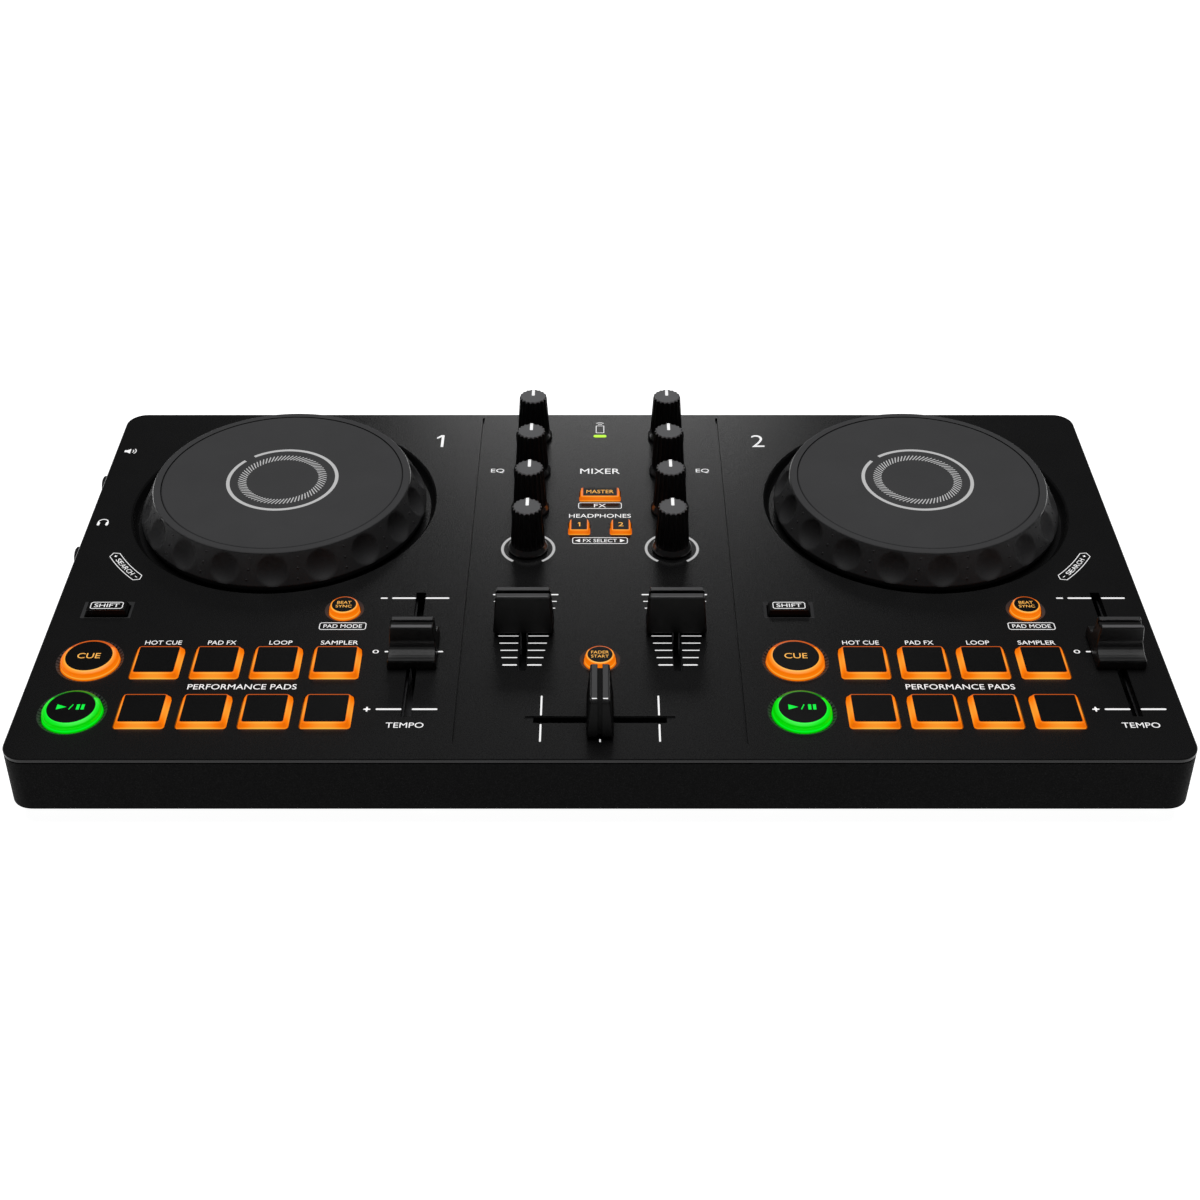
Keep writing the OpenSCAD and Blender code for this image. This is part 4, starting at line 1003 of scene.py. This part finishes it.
def phono_sockets(body_black, sleeve_metal, white, red):
    """Two phono sockets: a moulded housing, a plated sleeve and a coloured insulator."""
    _, low, high = case_box("phono_sockets")
    shape = Shape()
    face, back = high[1] - 9.0, high[1]
    z = low[2] + 5.0

    def barrel(x, profile, finish):
        """Turns (radius, y) points round an axis that runs front to back."""
        shape.loft([[(x + px, v, z + pz) for px, pz, _ in circle(r, 0, 48)] for r, v in profile],
                   finish, wrap=True)

    for x, colour in ((low[0] + 5.6, 2), (high[0] - 5.6, 3)):
        housing = [(0.6, low[1]), (0, low[1] + 0.6), (0, face - 0.6), (0.6, face)]
        shape.loft([[(x + px, v, z + 0.2 + pz) for px, pz, _ in
                     box_ring(11.2 - 2 * i, 10.4 - 2 * i, 0.8, 0)] for i, v in housing])
        barrel(x, [(4.15, face - 0.1), (4.15, back - 0.3), (3.9, back), (3.5, back),
                   (3.3, back - 0.3), (3.3, face - 0.1)], 1)
        barrel(x, [(3.35, face - 0.05), (3.35, back - 0.9), (1.75, back - 0.9), (1.6, back - 1.2),
                   (1.6, face - 0.05)], colour)
        barrel(x, [(5.5, face - 0.05), (5.5, face + 1.2), (5.2, face + 1.5), (4.1, face + 1.5),
                   (4.1, face - 0.05)], colour)
    piece = shape.build("phono_socket_pair", "case", "socket_plastic",
                        [body_black, sleeve_metal, white, red], 30)
    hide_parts("phono_sockets")


def paint(node, material):
    """Gives a CAD piece that is seen as it is its one material."""
    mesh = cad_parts[node].data
    mesh.materials.clear()
    mesh.materials.append(material)


# ---------- assembly ----------


def case_parts(panel, gloss, black):
    """Looks of the case, what is inside it, and what sits in its walls."""
    paint("top_panel", panel)
    paint("bottom_case", sparkle_plastic("case_plastic", 0.003, 0.6))
    paint("main_board", board_material())
    paint("pad_keymats", rubber("silicone", (0.55, 0.54, 0.5), 0.5))
    paint("fader_units", metal("unit_metal", 0.08, 0.5))
    paint("knob_potentiometers", plastic("pot_body", 0.05, 0.5, 0.5, 0.02))
    paint("jog_axles", metal("axle_steel", 0.6, 0.3))
    paint("usb_sockets", metal("socket_metal", 0.6, 0.28))
    paint("headphone_socket", plastic("socket_plastic", 0.012, 0.4, 0.4, 0.01))
    paint("rubber_feet", rubber("foot_rubber", (0.02, 0.02, 0.02), 0.8))
    paint("case_screws", metal("screw_steel", 0.12, 0.4))
    yellow_green = (0.5, 1.0, 0.0)
    paint("status_light", lit("status_lens", yellow_green, yellow_green, yellow_green, 1.0,
                              (0.06, 0.06, 0.0)))
    for node in ("master_level_knob", "headphone_level_knob"):
        paint(node, gloss)
    phono_sockets(black, metal("sleeve_metal", 0.7, 0.25),
                  rubber("white_insulator", (0.8, 0.8, 0.8), 0.5),
                  rubber("red_insulator", (0.6, 0.02, 0.02), 0.5))


def label(name, node, slot, where, lines, colour):
    """Words on the top of a button. Each line is its words, how far up it is, its width
    and its height."""
    x, y, top = where
    mark = Print(top)
    for words, up, width, height in lines:
        mark.words(words, x, y + up, width, height)
    mark.build(name, node, slot, [colour])


def deck_buttons(side, black, edge, amber, green, inks):
    """Cue, play, sync and shift buttons of one deck."""
    node = f"{side}_cue_button"
    label(f"{side}_cue_print", node, "amber_light",
          round_button(node, "amber_light", black, amber), [("CUE", 0, 7.8, 2.8)], inks["amber"])

    node = f"{side}_play_button"
    x, y, top = round_button(node, "green_light", black, green)
    mark = Print(top)
    triangle(mark, x - 3.1, y, 3.2, 2.6, 1)
    mark.bar(x - 0.45, y - 1.1, x + 0.45, y + 1.1, 0.35)
    for left in (x + 1.8, x + 3.4):
        mark.fill([(left, y - 1.3), (left + 1, y - 1.3), (left + 1, y + 1.3), (left, y + 1.3)])
    mark.build(f"{side}_play_print", node, "green_light", [inks["green"]])

    node = f"{side}_sync_button"
    label(f"{side}_sync_print", node, "amber_light",
          round_button(node, "amber_light", black, amber),
          [("BEAT", 1.1, 5.0, 1.5), ("SYNC", -1.1, 5.6, 1.5)], inks["amber"])

    node = f"{side}_shift_button"
    x, y, top = rect_button(node, "black_button", [black, edge], black, (13.0, 5.0), 0, 0.9)
    mark = Print(top)
    mark.pill(x, y, 11.5, 3.9, 0.9, LABEL_LINE)
    mark.words("SHIFT", x, y, 8.8, 2.1)
    mark.build(f"{side}_shift_print", node, "black_button", [inks["white"]])


def mixer_buttons(black, amber, amber_ink):
    """Fader start button, and the master and headphone cue keys."""
    node = "fader_start_button"
    label("fader_start_print", node, "amber_light",
          round_button(node, "amber_light", black, amber),
          [("FADER", 1.1, 6.0, 1.5), ("START", -1.1, 6.0, 1.5)], amber_ink)
    node = "master_cue_button"
    label("master_cue_print", node, "amber_light",
          rect_button(node, "amber_light", [amber, amber], black, (13.0, 5.5), -0.15),
          [("MASTER", 0, 10.4, 2.3)], amber_ink)
    for k in (1, 2):
        node = f"headphone_cue_{k}"
        x, y, top = rect_button(node, "amber_light", [amber, amber], black, (5.9, 6.7), -0.1)
        mark = Print(top)
        if k == 1:
            figure_one(mark, x, y, 2.6, 0.45)
        else:
            mark.words("2", x, y, 2.0, 2.6)
        mark.build(f"headphone_cue_{k}_print", node, "amber_light", [amber_ink])


def main():
    make_camera()
    make_studio()
    make_floor()

    panel = plastic("panel_plastic", 0.011, 0.285, 0.25, 0.003, specular=0.24)
    wheel_side = plastic("wheel_plastic", 0.05, 0.6, 0.45, 0.05, 0.15, 0.25)
    edge = plastic("satin_edge", 0.03, 0.32, 0.5, 0.001, specular=0.5, coat=0.9)
    # The hole bevels are painted lighter than the panel, as a sheen for the light they catch.
    bevel = plastic("bevel_painted_sheen", 0.075, 0.5, 0.4, 0.004, specular=0.1)
    platter_top = plastic("platter_plastic", 0.095, 0.7, 0.25, 0.01, 0.05, 0.15)
    gloss = plastic("gloss_black", 0.013, 0.4, 0.6, 0.0008, 0.2, 0.12)
    # Light grey painted highlight for the rims of the knob tops, and a grey painted sheen for the
    # tops.
    knob_rim_highlight = plastic("knob_rim_painted_highlight", 0.3, 0.35, 0.5, 0.001, 0.08, 0.5, 0.5)
    knob_top_sheen = plastic("knob_top_painted_sheen", 0.19, 0.55, 0.25, 0.01, 0.06, 0.3)
    cap = plastic("cap_black", 0.006, 0.38, 0.5, 0.003, 0.2, 0.5)
    cross_cap = plastic("cross_cap_black", 0.003, 0.5, 0.5, 0.003, 0.2, 0.1)
    # Grey painted sheen for the tops of the fader caps, and a lighter painted highlight for the front
    # land and groove wall of the tempo caps.
    cap_groove_highlight = plastic("cap_groove_painted_highlight", 0.2, 0.4, 0.3, 0.002, 0.08)
    cap_top_sheen = plastic("cap_top_painted_sheen", 0.07, 0.45, 0.3, 0.003, 0.08)
    key = plastic("key_black", 0.005, 0.34, 0.3, 0.004, 0.2, 0.15)
    # The inks carry a painted glow, so the print stays bright in shade.
    white = ink("white_ink", (0.85, 0.85, 0.85), 0.75)
    grey_ink = ink("grey_ink", (0.5, 0.5, 0.5), 0.6)
    amber = lit("amber_light", (0.5, 0.07, 0.003), (1.0, 0.2, 0.0), (1.0, 0.55, 0.07), 0.92,
                (0.25, 0.05, 0.001))
    green = lit("green_light", (0.0, 0.1, 0.002), (0.0, 0.75, 0.0), (0.0, 1.0, 0.04), 0.95,
                (0.001, 0.08, 0.002))
    amber_ink = ink("amber_ink", (1.0, 0.5, 0.1), 0.65)
    green_ink = ink("green_ink", (0.0, 0.8, 0.05), 0.8)

    case_parts(panel, gloss, key)
    for side in SIDES:
        jog_wheel(side, wheel_side, platter_top, edge)
        jog_platter(side, platter_top)
        jog_print(side, grey_ink)
        for name in ("high", "mid", "low", "filter"):
            knob(f"{side}_{name}_knob", gloss, knob_top_sheen, white, knob_rim_highlight, edge)
        fin_cap(f"{side}_channel_fader", cap, cap_top_sheen, white, edge)
        tempo_cap(f"{side}_tempo_slider", cap, cap_top_sheen, cap_groove_highlight)
        for k in range(1, 9):
            pad(f"{side}_pad_{k}", key, amber)
    fin_cap("crossfader", cross_cap, cap_top_sheen, white, edge)
    for side in SIDES:
        deck_buttons(side, key, edge, amber, green,
                     {"amber": amber_ink, "green": green_ink, "white": white})
    mixer_buttons(key, amber, amber_ink)

    hole_bevels(bevel)
    marks = Print()
    for side in SIDES:
        deck_print(marks, side)
    mixer_print(marks)
    icon_print(marks)
    marks.build("panel_print", "case", "panel_plastic", [white, grey_ink])


main()
